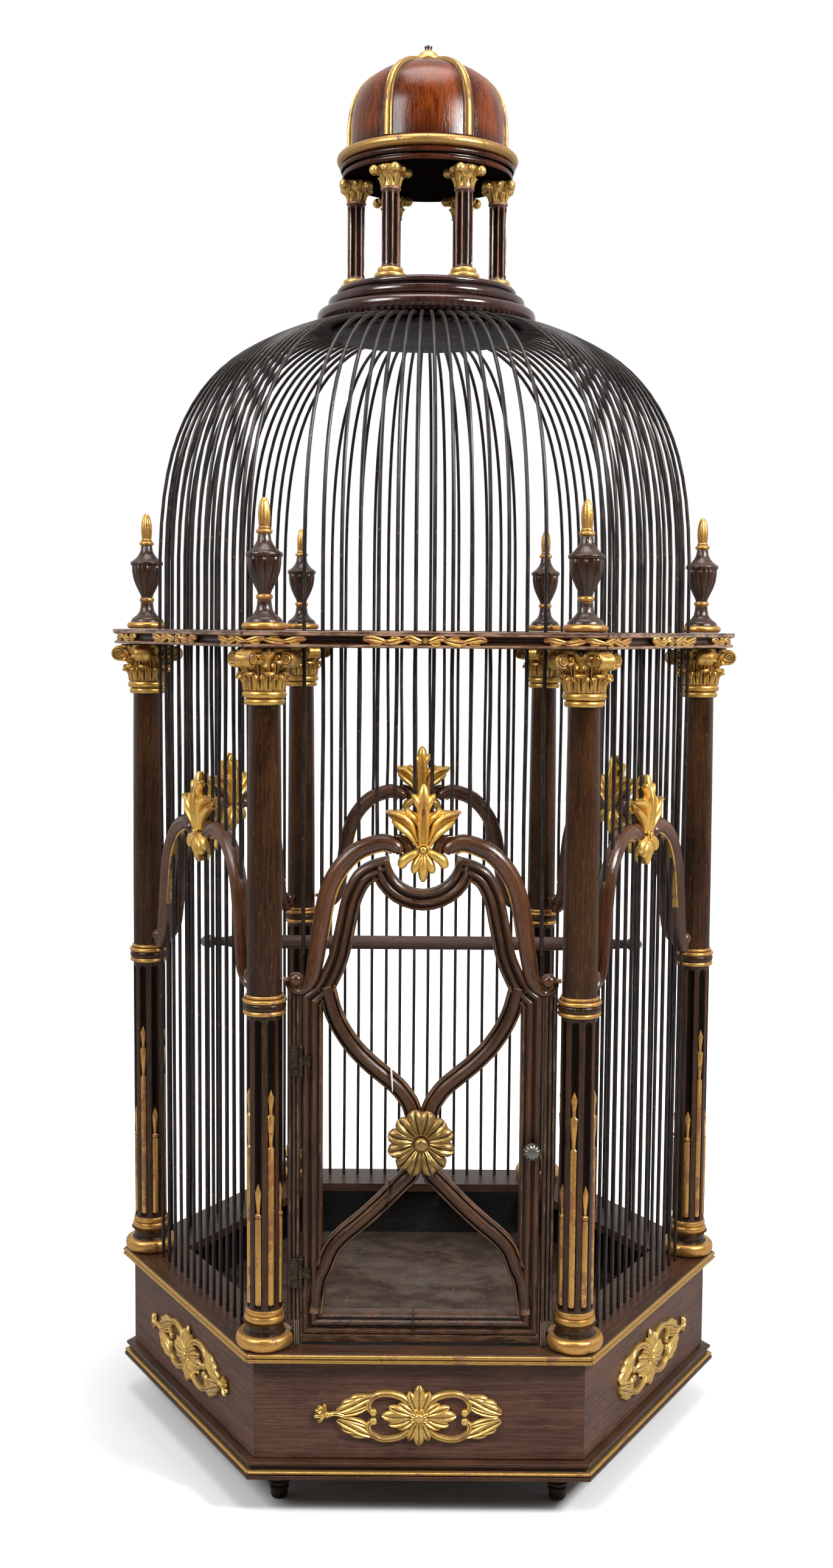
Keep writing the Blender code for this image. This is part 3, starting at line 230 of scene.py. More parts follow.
def wood(
    name, dark, light, worn, roughness, wear=0.5, wear_and_highlight_from=0.88, shine=0.25, texture=0.5, slot="walnut"
):
    """Polished wood: streaks and pores along the grain, hollows darkened with painted shade, and edges rubbed
    pale, partly wear and partly a painted highlight on the ridges.
    """
    finish = Finish(name, slot)
    place = finish.attribute("grain", 1)
    relief = finish.attribute("relief", 2)
    streaks = finish.noise(place, (17, 640, 640), 5.0, 0.65).between(0.34, 0.66)
    clouds = finish.noise(place, (14, 36, 36), 3.0).between(0.3, 0.7)
    pores = finish.noise(place, (60, 1500, 1500), 2.0).between(0.57, 0.68)
    rubbed = finish.noise(place, (55, 260, 260), 4.0, 0.6)
    specks = finish.noise(place, (330, 420, 420), 2.0, 0.6).between(0.765, 0.79)
    colour = finish.mix(streaks * 0.55 + clouds * 0.45, dark, light)
    # One dark colour for the pores and for the painted shade in the hollows.
    pore_and_shade = [part * 0.3 for part in dark]
    colour = finish.mix(pores * 0.5, colour, pore_and_shade)
    flecks = finish.noise(place, (120, 700, 700), 2.0, 0.6).between(0.56, 0.74)
    colour = finish.mix(flecks * 0.13, colour, worn)
    # Painted shade: the hollows, where relief is below 0, are darkened.
    colour = finish.mix((0 - relief).between(0.02, 0.4) * 0.88, colour, pore_and_shade)
    # Edges rubbed pale: partly wear and partly a painted highlight along the ridges.
    edges = (relief + rubbed * 0.9).between(wear_and_highlight_from, wear_and_highlight_from + 0.32)
    colour = finish.mix(edges * wear + specks * 0.5, colour, worn)
    finish.paint(colour)
    finish.set("Roughness", clouds * 0.1 + rubbed * 0.16 + (roughness - 0.1))
    finish.set("Specular IOR Level", shine)
    finish.bump(streaks * 0.5 - pores, 0.00018, texture)
    return finish


def gilding(name, gold, deep, bole, wear, dirt_and_shade=0.26):
    """Gold leaf over red bole on carved wood: brown in the hollows, partly dirt and partly painted shade,
    worn through here and there.
    """
    finish = Finish(name, "gilding")
    place = finish.attribute("grain", 1)
    relief = finish.attribute("relief", 2)
    patches = finish.noise(place, (90, 90, 90), 4.0, 0.6)
    worn_at = finish.noise(place, (47, 61, 61), 5.0, 0.65)
    crackle = finish.noise(place, (620, 620, 620), 3.0, 0.6)
    # The hollows turn brown: partly dirt and partly painted shade.
    hollow = (patches * 0.5 - relief).between(dirt_and_shade, dirt_and_shade + 0.36)
    worn = (worn_at + relief * 0.25).between(0.68 - wear * 0.2, 0.76 - wear * 0.2)
    colour = finish.mix(hollow, gold, deep)
    colour = finish.mix(crackle.between(0.35, 0.7) * 0.3, colour, deep)
    colour = finish.mix(worn * 0.85, colour, bole)
    finish.paint(colour)
    finish.set("Metallic", 0.8 - worn * 0.7 - hollow * 0.35)
    finish.set("Roughness", patches * 0.22 + crackle * 0.15 + 0.16)
    finish.bump(crackle + patches * 2, 0.0003, 0.5)
    return finish


WALNUT = wood("dark_walnut", (0.017, 0.0066, 0.0034), (0.08, 0.034, 0.017), (0.26, 0.135, 0.07), 0.3)
GILT = gilding("old_gilding", (0.74, 0.48, 0.145), (0.06, 0.028, 0.007), (0.2, 0.07, 0.03), 0.05, 0.36)


def new_form():
    form = bmesh.new()
    form.verts.layers.float_vector.new("grain")
    form.verts.layers.float.new("relief")
    form.verts.layers.float.new("cut")
    return form


def middle_of(points):
    return sum(points, Vector((0, 0, 0))) / len(points)


def skin(form, rings, grains, closed=False):
    """Bends a sheet of faces round rings of points. Open ends are closed on their middles."""
    across = len(rings[0])
    if closed:
        rings = rings + rings[:1]
        grains = grains + grains[:1]
    else:
        rings = [[middle_of(rings[0])] * across] + rings + [[middle_of(rings[-1])] * across]
        grains = [[middle_of(grains[0])] * across] + grains + [[middle_of(grains[-1])] * across]
    made = bmesh.ops.create_grid(form, x_segments=across, y_segments=len(rings) - 1, size=1)["verts"]
    layer = form.verts.layers.float_vector["grain"]
    for row, (ring, grain) in enumerate(zip(rings, grains)):
        for column in range(across + 1):
            vert = made[row * (across + 1) + column]
            vert.co = ring[column % across]
            vert[layer] = grain[column % across]
    bmesh.ops.remove_doubles(form, verts=made, dist=0.0000001)


def boards(form, section):
    """Six mitred lengths round the axis, of one section as (distance from the axis, height)."""
    for side in range(6):
        turn = Matrix.Rotation(side * SIXTH, 3, "Z")
        rings = []
        grains = []
        for share in MITRE_SHARES:
            ring = [Vector((share * (out * MITRE - HAIRLINE), -out, up)) for out, up in section]
            rings.append([turn @ point for point in ring])
            grains.append([point + NEXT_BOARD * side for point in ring])
        skin(form, rings, grains)


def bulge(radius, low, high, out, steps=6):
    """Profile points of a half round, or of a hollow where out is below 0."""
    points = []
    for step in range(steps + 1):
        angle = math.pi * step / steps
        points.append((radius + out * math.sin(angle), low + (high - low) * (1 - math.cos(angle)) / 2))
    return points


def bead(inner, radius, low, high, out, steps=6):
    """A half round that stands on a core."""
    return [(inner, low)] + bulge(radius, low, high, out, steps) + [(inner, high)]


def turned(form, profile, steps, change=None, place=Matrix()):
    """A turned solid on the Z axis, or where place puts it. profile is (radius, height), foot to top."""
    outline = [(0, profile[0][1])] + list(profile) + [(0, profile[-1][1])]
    before = set(form.verts)
    verts = [form.verts.new((radius, 0, height)) for radius, height in outline]
    edges = [form.edges.new(pair) for pair in zip(verts, verts[1:])]
    bmesh.ops.spin(
        form, geom=verts + edges, cent=(0, 0, 0), axis=(0, 0, 1), dvec=(0, 0, 0), angle=TURN, steps=steps,
        use_merge=True, use_duplicate=False
    )
    made = [vert for vert in form.verts if vert not in before]
    bmesh.ops.remove_doubles(form, verts=made, dist=0.000001)
    layer = form.verts.layers.float_vector["grain"]
    cut = form.verts.layers.float["cut"]
    for vert in form.verts:
        if vert not in before:
            radius = math.hypot(vert.co.x, vert.co.y)
            if change and radius > 0.0001:
                wanted = change(math.atan2(vert.co.y, vert.co.x), vert.co.z, radius)
                vert[cut] = (radius - wanted) / CUT_DEPTH
                vert.co.x *= wanted / radius
                vert.co.y *= wanted / radius
            vert[layer] = (vert.co.z, vert.co.x, vert.co.y)
            vert.co = place @ vert.co


def settle(form, name, finish, node=None, places=ONCE, body="cage"):
    """Makes a piece of a form at each place, with a grain of its own. The place's name ends the piece's."""
    bmesh.ops.recalc_face_normals(form, faces=form.faces)
    form.normal_update()
    layer = form.verts.layers.float["relief"]
    cut = form.verts.layers.float["cut"]
    for vert in form.verts:
        lean = 0
        for edge in vert.link_edges:
            away = edge.other_vert(vert).co - vert.co
            lean -= away.dot(vert.normal) / away.length
        vert[layer] = max(-1, min(1, 2 * lean / len(vert.link_edges) - 0.25 * vert[cut]))
    for edge in form.edges:
        if edge.calc_length() > LONG_EDGE:
            least = min((vert[layer] for vert in edge.verts), key=abs)
            for vert in edge.verts:
                vert[layer] = least
    model = bpy.data.meshes.new(name)
    form.to_mesh(model)
    form.free()
    model.shade_smooth()
    model.set_sharp_from_angle(angle=SHARP_EDGE)
    model.materials.append(finish.material)
    pieces = []
    for index, (where, place) in enumerate(places.items()):
        mesh = model.copy()
        mesh.transform(place)
        for entry in mesh.attributes["grain"].data:
            entry.vector = entry.vector + NEXT_PIECE * index
        thing = bpy.data.objects.new(name + where, mesh)
        scene.collection.objects.link(thing)
        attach(thing, body)
        if node:
            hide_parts(node + where)
        pieces.append(thing)
    bpy.data.meshes.remove(model)
    return pieces


def round_axis(radius, height=0.0):
    """The six places at the corners, on a circle round the axis at some height."""
    foot = Matrix.Translation((0, 0, height))
    return {name: foot @ turn @ Matrix.Translation((radius, 0, 0)) for name, turn in CORNER_TURNS.items()}


FOOT_CIRCLE = 0.249
form = new_form()
boards(
    form,
    [(0.205, 0.0362), (0.2566, 0.0362), (0.2582, 0.0364), (0.2588, 0.037), (0.2588, 0.0394), (0.2583, 0.04),
     (0.2566, 0.0403), (0.255, 0.0404), (0.255, 0.0438)] + bulge(0.2552, 0.0439, 0.0474, -0.0014)
    + [(0.2556, 0.0475)] + bulge(0.2558, 0.0477, 0.0514, 0.0014) + [(0.205, 0.0515)],
)
turned(form, [(0.242, 0.0375), (0.242, 0.044)], 6)
foot = (
    [(0.0056, 0.0004), (0.0068, 0.001), (0.0075, 0.0026), (0.0076, 0.008)]
    + bulge(0.0078, 0.0086, 0.0118, 0.0012) + [(0.0072, 0.0124), (0.0073, 0.0142)]
    + bulge(0.0094, 0.0145, 0.0176, 0.0013) + [(0.009, 0.0184), (0.0092, 0.0366)]
)
for place in round_axis(FOOT_CIRCLE).values():
    turned(form, foot, 28, place=place)
settle(form, "base_moulding", WALNUT, "plinth")
form = new_form()
boards(form, bead(0.254, 0.2554, 0.0404, 0.0438, 0.0034, 8))
EDGE_GILT = gilding("edge_gilding", (0.56, 0.33, 0.09), (0.06, 0.028, 0.01), (0.16, 0.06, 0.03), 0.25)
settle(form, "base_moulding_bead", EDGE_GILT)

# The base box: six upright walnut boards, mitred at the corners, with the grain running round.
form = new_form()
boards(form, [
    (0.2375, 0.0519), (0.2488, 0.0519), (0.2494, 0.0525), (0.2494, 0.054), (0.2494, 0.096),
    (0.2494, 0.138), (0.2494, 0.1396), (0.2488, 0.1402), (0.2375, 0.1402),
])
BOX_WOOD = wood(
    "box_walnut", (0.046, 0.0205, 0.013), (0.132, 0.063, 0.041), (0.34, 0.21, 0.145), 0.42, shine=0.2
)
base_box, = settle(form, "base_box_boards", BOX_WOOD, "base_box")
# A near-black finish for faces inside the box and under the cupola: partly dirt and partly painted shade.
DIRT_AND_SHADE = wood("dirt_and_shade", (0.003, 0.0022, 0.0018), (0.01, 0.0075, 0.006), (0.06, 0.05, 0.04), 0.7, 0.2, shine=0)


def second_finish(thing, finish, chosen):
    """Gives another finish to the faces of a piece that chosen picks."""
    thing.data.materials.append(finish.material)
    for polygon in thing.data.polygons:
        if chosen(polygon):
            polygon.material_index = 1


# Painted shade: the inward faces of the box boards take the near-black finish.
second_finish(base_box, DIRT_AND_SHADE, lambda face: face.normal.xy.dot(face.center.xy) < -0.05)

# The board on top of the box, which carries the columns. Its edge is worked as two gilt beads.
form = new_form()
boards(form, [(0.2031, 0.1408), (0.2578, 0.1408), (0.2578, 0.149), (0.2572, 0.1495), (0.2031, 0.1495)])
settle(form, "base_board", WALNUT, "base_top")
form = new_form()
for low in (0.1409, 0.145):
    boards(form, bead(0.256, 0.2576, low, low + 0.0038, 0.0021))
settle(form, "base_board_beads", EDGE_GILT)

# The cage's floor: a board inside the box, grey with dust and scuffed by claws and dishes.
floor_wood = Finish("scuffed_floor", "floor_wood")
place = floor_wood.coordinates("Object")
scuffs = floor_wood.noise(place, (38, 55, 40), 6.0, 0.7)
rings = floor_wood.noise(place, (9, 13, 9), 5.0, 0.62)
streaks = floor_wood.noise(place, (16, 320, 16), 3.0, 0.6)
specks = floor_wood.noise(place, (260, 260, 260), 2.0).between(0.7, 0.73)
colour = floor_wood.mix(scuffs.between(0.35, 0.68), (0.036, 0.023, 0.016), (0.09, 0.061, 0.045))
colour = floor_wood.mix(streaks.between(0.45, 0.7) * 0.35, colour, (0.028, 0.02, 0.016))
colour = floor_wood.mix(rings.between(0.52, 0.6) * 0.3, colour, (0.12, 0.098, 0.08))
floor_wood.paint(floor_wood.mix(specks * 0.5, colour, (0.3, 0.27, 0.23)))
floor_wood.set("Roughness", scuffs * 0.3 + 0.4)
floor_wood.set("Specular IOR Level", 0.05)
floor_wood.bump(scuffs + streaks, 0.0003, 0.5)
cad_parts["floor_board"].material_slots[0].material = floor_wood.material

# The applied ornament on each side of the box: a flower between two pairs of C scrolls with leaf
# ends, carved and pierced, gilded, and glued and pinned on. Some ends still carry a tassel.
FRONT = Vector((0, -1, 0))


def mirrored(half):
    """A whole section from one half of it. A point on the line between the halves comes once."""
    return half + [(-across, out) for across, out in half[::-1] if across]


UNDER_LOBE = [(-0.6, -0.25), (0.6, -0.25)]
LOBE = mirrored([(1.0, 0.0), (0.86, 0.52), (0.6, 0.86), (0.34, 0.98), (0.16, 0.8), (0.0, 0.66)]) + UNDER_LOBE
PLAIN_LOBE = mirrored([(1.0, 0.0), (0.9, 0.46), (0.7, 0.76), (0.38, 0.95), (0.0, 1.02)]) + UNDER_LOBE


def circle(sides, radius=1.0):
    """The corners of a regular polygon, as the section of a round rod."""
    angles = [TURN * side / sides for side in range(sides)]
    return [(math.cos(angle) * radius, math.sin(angle) * radius) for angle in angles]


ROUND = circle(10)


def flowing(points, steps=6):
    """A smooth path through points."""
    points = [Vector(point) for point in points]
    ends = [points[0] * 2 - points[1]] + points + [points[-1] * 2 - points[-2]]
    path = []
    for first, second, third, fourth in zip(ends, ends[1:], ends[2:], ends[3:]):
        for step in range(steps):
            t = step / steps
            place = second * 2 + (third - first) * t
            place += (first * 2 - second * 5 + third * 4 - fourth) * t * t
            place += (second * 3 - first - third * 3 + fourth) * t * t * t
            path.append(place / 2)
    return path + [points[-1]]


def sweep(form, path, section, up=None, side=None, size=None, closed=False):
    """A bar of one section along a path. The section is (across, out); up or side steadies it."""
    count = len(path)
    run = 0
    rings = []
    grains = []
    for index, place in enumerate(path):
        before = path[index - 1] if closed or index else None
        after = path[(index + 1) % count] if closed or index < count - 1 else None
        into = (place - before).normalized() if before else (after - place).normalized()
        onward = (after - place).normalized() if after else into
        along = (into + onward).normalized()
        if side:
            out = side.cross(along).normalized()
            across = side
        else:
            across = along.cross(up).normalized()
            out = across.cross(along)
        mitre = across / max(0.4, along.dot(into))
        wide, tall = size(index / (count - 1)) if size else (1, 1)
        rings.append([place + mitre * (x * wide) + out * (z * tall) for x, z in section])
        grains.append([Vector((run, x * wide, z * tall)) for x, z in section])
        run += (after - place).length if after else 0
    skin(form, rings, grains, closed)


def rod(form, path, radius, up):
    """A round wire or pin along a path."""
    sweep(form, path, [(x * radius, z * radius) for x, z in ROUND], up)


def lobe(
    form, points, wide, tall, up=FRONT, side=None, root=0.35, tip=0.04, fullest=0.5, blunt=1.8, section=LOBE
):
    """A carved petal or leaf along points, grooved down its middle unless its section says otherwise."""

    def size(share):
        if share < fullest:
            spread = root + (1 - root) * math.sin(share / fullest * TURN / 4)
        else:
            spread = tip + (1 - tip) * (1 - ((share - fullest) / (1 - fullest)) ** blunt) ** 0.7
        return wide * spread, tall * (0.25 + 0.75 * spread ** 0.7)

    sweep(form, flowing(points, 5), section, up, side, size)


def rising_lobe(form, turn, spine, wide, tall, **shape):
    """A lobe in the upright plane that turn gives. spine is (distance from the axis, height)."""
    points = [turn @ Vector((out, 0, height)) for out, height in spine]
    lobe(form, points, wide, tall, side=turn @ Vector((0, 1, 0)), **shape)


def facing(point):
    """Where a turned boss stands that faces the front."""
    return Matrix.Translation(point) @ Matrix.Rotation(TURN / 4, 4, "X")


ORNAMENT_FACE = -0.2496
ORNAMENT_HEIGHT = 0.091
PETAL_TIPS = (
    (0.0322, 0.0006, 0.0056), (0.0262, 0.0088, 0.0044), (0.0176, 0.0118, 0.004), (0.0258, -0.0074, 0.0044),
    (0.0182, -0.011, 0.004), (0.0, 0.028, 0.005), (0.009, 0.0222, 0.0044), (0.0, -0.0262, 0.005),
    (0.0088, -0.021, 0.0044),
)
SCROLL = ((0.008, 0.012), (0.016, 0.018), (0.0265, 0.0206), (0.0358, 0.0196), (0.0425, 0.0144),
          (0.0442, 0.0082), (0.0408, 0.004))
SCROLL_EYE = (0.0398, 0.004)
LEAF_ENDS = (
    (((0.0395, 0.018), (0.049, 0.0146), (0.06, 0.0088), (0.0716, 0.0034)), 0.0052, 0.004),
    (((0.043, 0.0176), (0.052, 0.0168), (0.06, 0.015)), 0.0036, 0.0034),
    (((0.048, 0.014), (0.058, 0.0132), (0.0672, 0.0108)), 0.0036, 0.0038),
    (((0.044, 0.0096), (0.05, 0.006), (0.06, 0.003), (0.069, 0.0014)), 0.0034, 0.0036),
)
SCROLL_SECTION = [
    (1.0, 0.0), (0.94, 0.5), (0.74, 0.86), (0.44, 1.0), (0.16, 0.94), (0.02, 0.7), (-0.12, 0.88),
    (-0.4, 0.96), (-0.72, 0.78), (-0.94, 0.45), (-1.0, 0.0), (-0.6, -0.25), (0.6, -0.25),
]
PETAL_RISE = ((0.1, 0.0012), (0.6, 0.0022), (1, 0.0004))
FLORET_RISE = ((0.002, 0.003), (0.0058, 0.0042), (0.0088, 0.0026))
FLORETS = 8
TASSEL_CORD = ((0.066, 0.001, 0.0016), (0.073, 0.0028, 0.002), (0.079, 0.0012, 0.0012))
FRINGE_FOOT = (0.0815, 0.001)
FRINGE = ((0.0085, 0.0045), (0.006, 0.008), (0.0095, -0.001), (0.0062, -0.0058), (0.001, 0.0092))
TASSELS = {
    "front": (-1,), "front_right": (1,), "back_right": (-1, 1), "back": (1,), "back_left": (-1,),
    "front_left": (-1, 1),
}


def on_box(x, z, lift=0.0):
    return Vector((x, ORNAMENT_FACE - lift, ORNAMENT_HEIGHT + z))


form = new_form()
for hand in (1, -1):
    for x, z, wide in PETAL_TIPS:
        if x or hand > 0:
            spine = [on_box(hand * x * share, z * share, lift) for share, lift in PETAL_RISE]
            lobe(form, spine, wide, 0.0034, root=0.4, tip=0.25, fullest=0.62, blunt=2.2)
    for rise in (1, -1):
        spine = flowing([on_box(hand * x, rise * z) for x, z in SCROLL])
        section = [(hand * rise * x, z) for x, z in SCROLL_SECTION][::hand * rise]
        sweep(form, spine, section, up=FRONT,
              size=lambda share: (0.0033 - 0.0008 * share, 0.0042 - 0.0006 * share))
        scroll_eye = facing(on_box(hand * SCROLL_EYE[0], rise * SCROLL_EYE[1]))
        turned(form, bulge(0.0024, -0.0012, 0.004, 0.001), 14, place=scroll_eye)
        for points, wide, tall in LEAF_ENDS:
            lift = [0.0] + [0.0006] * (len(points) - 2) + [0.0]
            spine = [on_box(hand * x, rise * z, up) for (x, z), up in zip(points, lift)]
            lobe(form, spine, wide, tall, root=0.5, tip=0.45, fullest=0.6, blunt=2.4)
for step in range(FLORETS):
    angle = (step + 0.5) * TURN / FLORETS
    spine = [on_box(math.cos(angle) * out, math.sin(angle) * out, lift) for out, lift in FLORET_RISE]
    lobe(form, spine, 0.0023, 0.002, root=0.6, tip=0.5)
boss = bulge(0.0042, 0.001, 0.006, 0.0004, 4)[:3] + bulge(0.0012, 0.0026, 0.008, 0.0032, 8)[3:]
turned(form, boss, 24, place=facing(on_box(0, 0)))
settle(form, "applied_ornament_", GILT, "ornament_", FACE_TURNS)
for face, turn in FACE_TURNS.items():
    form = new_form()
    for hand in TASSELS[face]:
        cord = [on_box(hand * x, z, lift) for x, z, lift in TASSEL_CORD]
        lobe(form, cord, 0.0022, 0.0026, root=0.8, tip=0.8)
        turned(form, bulge(0.0014, -0.001, 0.004, 0.0016), 14, place=facing(on_box(hand * 0.08, 0.0012)))
        for x, z in FRINGE:
            thread = ((0, 0, 0.0008), (x * 0.6, z * 0.7, 0.0018), (x, z, 0.0004))
            spine = [on_box(hand * (FRINGE_FOOT[0] + a), FRINGE_FOOT[1] + b, lift) for a, b, lift in thread]
            lobe(form, spine, 0.0019, 0.0024, root=0.5, tip=0.6, fullest=0.7)
    settle(form, "ornament_tassels_", GILT, places={face: turn})

# The six columns: turned walnut shafts on turned bases. The lower third is cut with eight flutes
# that hold gilt reeds, short and tall by turns, under a banded ring; the upper shaft is plain.
BASE = 0.1496
COLUMN_CIRCLE = 0.2713
FLUTES = 8
FIRST_FLUTE = math.radians(27)
COLUMN_PLACES = {
    name: Matrix.Translation((0, 0, BASE)) @ (
        turn @ Matrix.Translation((COLUMN_CIRCLE, 0, 0)) @ turn.inverted()
        @ Matrix.Rotation(index * TURN / FLUTES, 4, "Z")
    )
    for index, (name, turn) in enumerate(CORNER_TURNS.items())
}
CAPITAL_PLACES = round_axis(COLUMN_CIRCLE, BASE)
COLUMN_WOOD = wood(
    "column_walnut", (0.008, 0.0028, 0.001), (0.058, 0.0212, 0.0058), (0.36, 0.19, 0.075), 0.2,
    wear_and_highlight_from=0.84, shine=0.34
)
FLUTE_END = 0.004


def fluted(low, high, depth, spread, first=0.0):
    """How a turned shaft's radius changes where round-ended flutes are cut between two heights."""

    def radius_at(angle, height, radius):
        away = (angle - first) % (TURN / FLUTES)
        away = min(away, TURN / FLUTES - away)
        reach = min(height - low, high - height)
        if reach <= 0 or away >= spread:
            return radius
        ends = min(1, math.sqrt(reach / FLUTE_END))
        return radius - depth * ends * math.cos(away / spread * TURN / 4) ** 0.6

    return radius_at


form = new_form()
turned(form, bulge(0.0196, 0.012, 0.0226, -0.003), 40)
shaft_steps = (
    0.0338, 0.0358, 0.0372, 0.0395, 0.06, 0.12, 0.2, 0.26, 0.2865, 0.289, 0.2908, 0.2935
)
flutes = fluted(0.036, 0.2906, 0.0021, math.radians(14), FIRST_FLUTE)
turned(form, [(0.0157, height) for height in shaft_steps], 96, flutes)
turned(form, [(0.016, 0.2935)] + bulge(0.0178, 0.2984, 0.304, 0.001) + [(0.016, 0.311)], 40)
turned(form, [(0.0154, 0.3105), (0.0152, 0.38), (0.0147, 0.45), (0.0142, 0.52), (0.0138, 0.5592)], 40)
columns = settle(form, "turned_column_", COLUMN_WOOD, "column_", COLUMN_PLACES)
# Painted shade: the flutes, between the reeds, take a near-black brown.
FLUTE_SHADE = wood(
    "flute_shade", (0.006, 0.0024, 0.0012), (0.024, 0.0085, 0.0034), (0.12, 0.06, 0.03), 0.5, 0.3, shine=0.06
)
for column, place in zip(columns, COLUMN_PLACES.values()):
    axis = place.translation.xy
    second_finish(column, FLUTE_SHADE, lambda face: (
        BASE + 0.0365 < face.center.z < BASE + 0.29 and (face.center.xy - axis).length < 0.01525
    ))
COLUMN_RINGS = (
    bead(0.018, 0.022, 0.0004, 0.0124, 0.0034, 8),
    [(0.015, 0.0222)] + bulge(0.0164, 0.0222, 0.0288, 0.0019) + bulge(0.0158, 0.029, 0.0343, 0.0013),
    [(0.0155, 0.2937)] + bulge(0.0174, 0.294, 0.298, 0.0014) + [(0.0155, 0.2984)],
    [(0.0155, 0.304)] + bulge(0.0178, 0.3044, 0.308, 0.0016) + bulge(0.016, 0.3082, 0.3112, 0.001),
)
form = new_form()
for profile in COLUMN_RINGS:
    turned(form, profile, 40)
COLUMN_GILT = gilding(
    "column_gilding", (0.66, 0.35, 0.095), (0.05, 0.019, 0.005), (0.17, 0.054, 0.022), 0.22, 0.18
)
REED_CIRCLE = 0.01425
REEDS = (
    ((0.0385, 0.4), (0.04, 1.0), (0.115, 1.0), (0.1165, 0.7), (0.1176, 1.1), (0.1198, 1.1), (0.121, 0.5),
     (0.1253, 0.55), (0.133, 0.85), (0.1396, 1.0), (0.144, 0.5), (0.1471, 0.1)),
    ((0.0385, 0.4), (0.04, 1.0), (0.1785, 1.0), (0.18, 0.55), (0.185, 0.6), (0.195, 0.95), (0.2062, 1.15),
     (0.2085, 0.5), (0.213, 0.55), (0.2229, 1.05), (0.2265, 0.5), (0.2297, 0.1)),
)
for index in range(FLUTES):
    turn = Matrix.Rotation(FIRST_FLUTE + index * TURN / FLUTES, 4, "Z")
    rings = []
    for height, wide in REEDS[index % 2]:
        place = turn @ Vector((REED_CIRCLE, 0, height))
        section = [turn.to_3x3() @ Vector((x * 0.0021, z * 0.0029, 0)) * wide for x, z in ROUND]
        rings.append([place + point for point in section])
    skin(form, rings, [[Vector((point.z, point.x, point.y)) for point in ring] for ring in rings])
settle(form, "column_gilding_", COLUMN_GILT, places=COLUMN_PLACES)

# The capitals: turned and carved limewood, gilded, with two rings, two rows of leaves and four
# scrolled horns under a thin hollow-sided cap. The gilding is rubbed through to the bole here and there.
form = new_form()
turned(
    form,
    [(0.015, 0.5597)] + bulge(0.0156, 0.5597, 0.565, 0.0018) + [(0.0152, 0.5654)]
    + bulge(0.0166, 0.5656, 0.5717, 0.0024)
    + [(0.015, 0.5722), (0.0152, 0.585), (0.0175, 0.597), (0.0215, 0.6046)], 40
)


def hollow_sided(angle, height, radius):
    return radius * (0.9 + 0.1 * math.cos(4 * angle))


turned(form, [(0.0245, 0.6036), (0.0262, 0.6046), (0.0262, 0.6068), (0.025, 0.6079)], 48, hollow_sided)
LEAVES = 8
LEAF_ROWS = ((0, 0.5868, 0.0232, 0.0052), (0.5, 0.5965, 0.0248, 0.0046))
for first, top, reach, wide in LEAF_ROWS:
    for index in range(LEAVES):
        turn = Matrix.Rotation((index + first) * TURN / LEAVES, 3, "Z")
        spine = [(0.0156, 0.5722), (0.0166, top - 0.0065), (0.0186, top - 0.0008),
                 (reach - 0.001, top + 0.0004), (reach, top - 0.0022)]
        rising_lobe(form, turn, spine, wide, 0.003, root=0.75, tip=0.5)
        for hand in (1, -1):
            frill = [(0.017, 0.0016, top - 0.008), (0.019, 0.0034, top - 0.004),
                     (reach - 0.0024, 0.0056, top - 0.003), (reach - 0.0014, 0.0062, top - 0.0054)]
            points = [turn @ Vector((out, hand * off, height)) for out, off, height in frill]
            lobe(form, points, 0.0022, 0.0024, up=turn @ Vector((1, 0, 0)), root=0.6, tip=0.6)
HORN = [(0.016, 0.588), (0.0185, 0.597), (0.0225, 0.6025), (0.0285, 0.6056), (0.0335, 0.602)]
TENDRIL = [(0.0165, 0.59), (0.019, 0.598), (0.0225, 0.602), (0.024, 0.5998)]
HALF_DRUM = [
    (0.003, 0.008), (0.004, 0.0082), (0.0046, 0.0072), (0.006, 0.0074), (0.0071, 0.0062), (0.0073, 0.004),
]
DRUM = [(radius, -height) for radius, height in HALF_DRUM] + [(0.0068, 0.0)] + HALF_DRUM[::-1]
for index in range(4):
    turn = Matrix.Rotation(index * TURN / 4, 3, "Z")
    rising_lobe(form, turn, HORN, 0.0062, 0.002, root=0.5, tip=0.9)
    turned(form, DRUM, 24, place=turn.to_4x4() @ facing((0.0272, 0, 0.5985)))
    for hand in (1, -1):
        beside = Matrix.Rotation(index * TURN / 4 + hand * TURN / 16, 3, "Z")
        rising_lobe(form, beside, TENDRIL, 0.0026, 0.0022)
    flower = Matrix.Rotation((index + 0.5) * TURN / 4, 4, "Z") @ Matrix.Translation((0.02, 0, 0.6052))
    turned(form, bulge(0.001, -0.0026, 0.0026, 0.002), 12, place=flower @ Matrix.Rotation(TURN / 4, 4, "Y"))
CAPITAL_GILT = gilding(
    "capital_gilding", (0.72, 0.415, 0.1), (0.034, 0.014, 0.004), (0.16, 0.08, 0.05), 0.26, 0.14
)
settle(form, "carved_capital_", CAPITAL_GILT, "capital_", CAPITAL_PLACES)

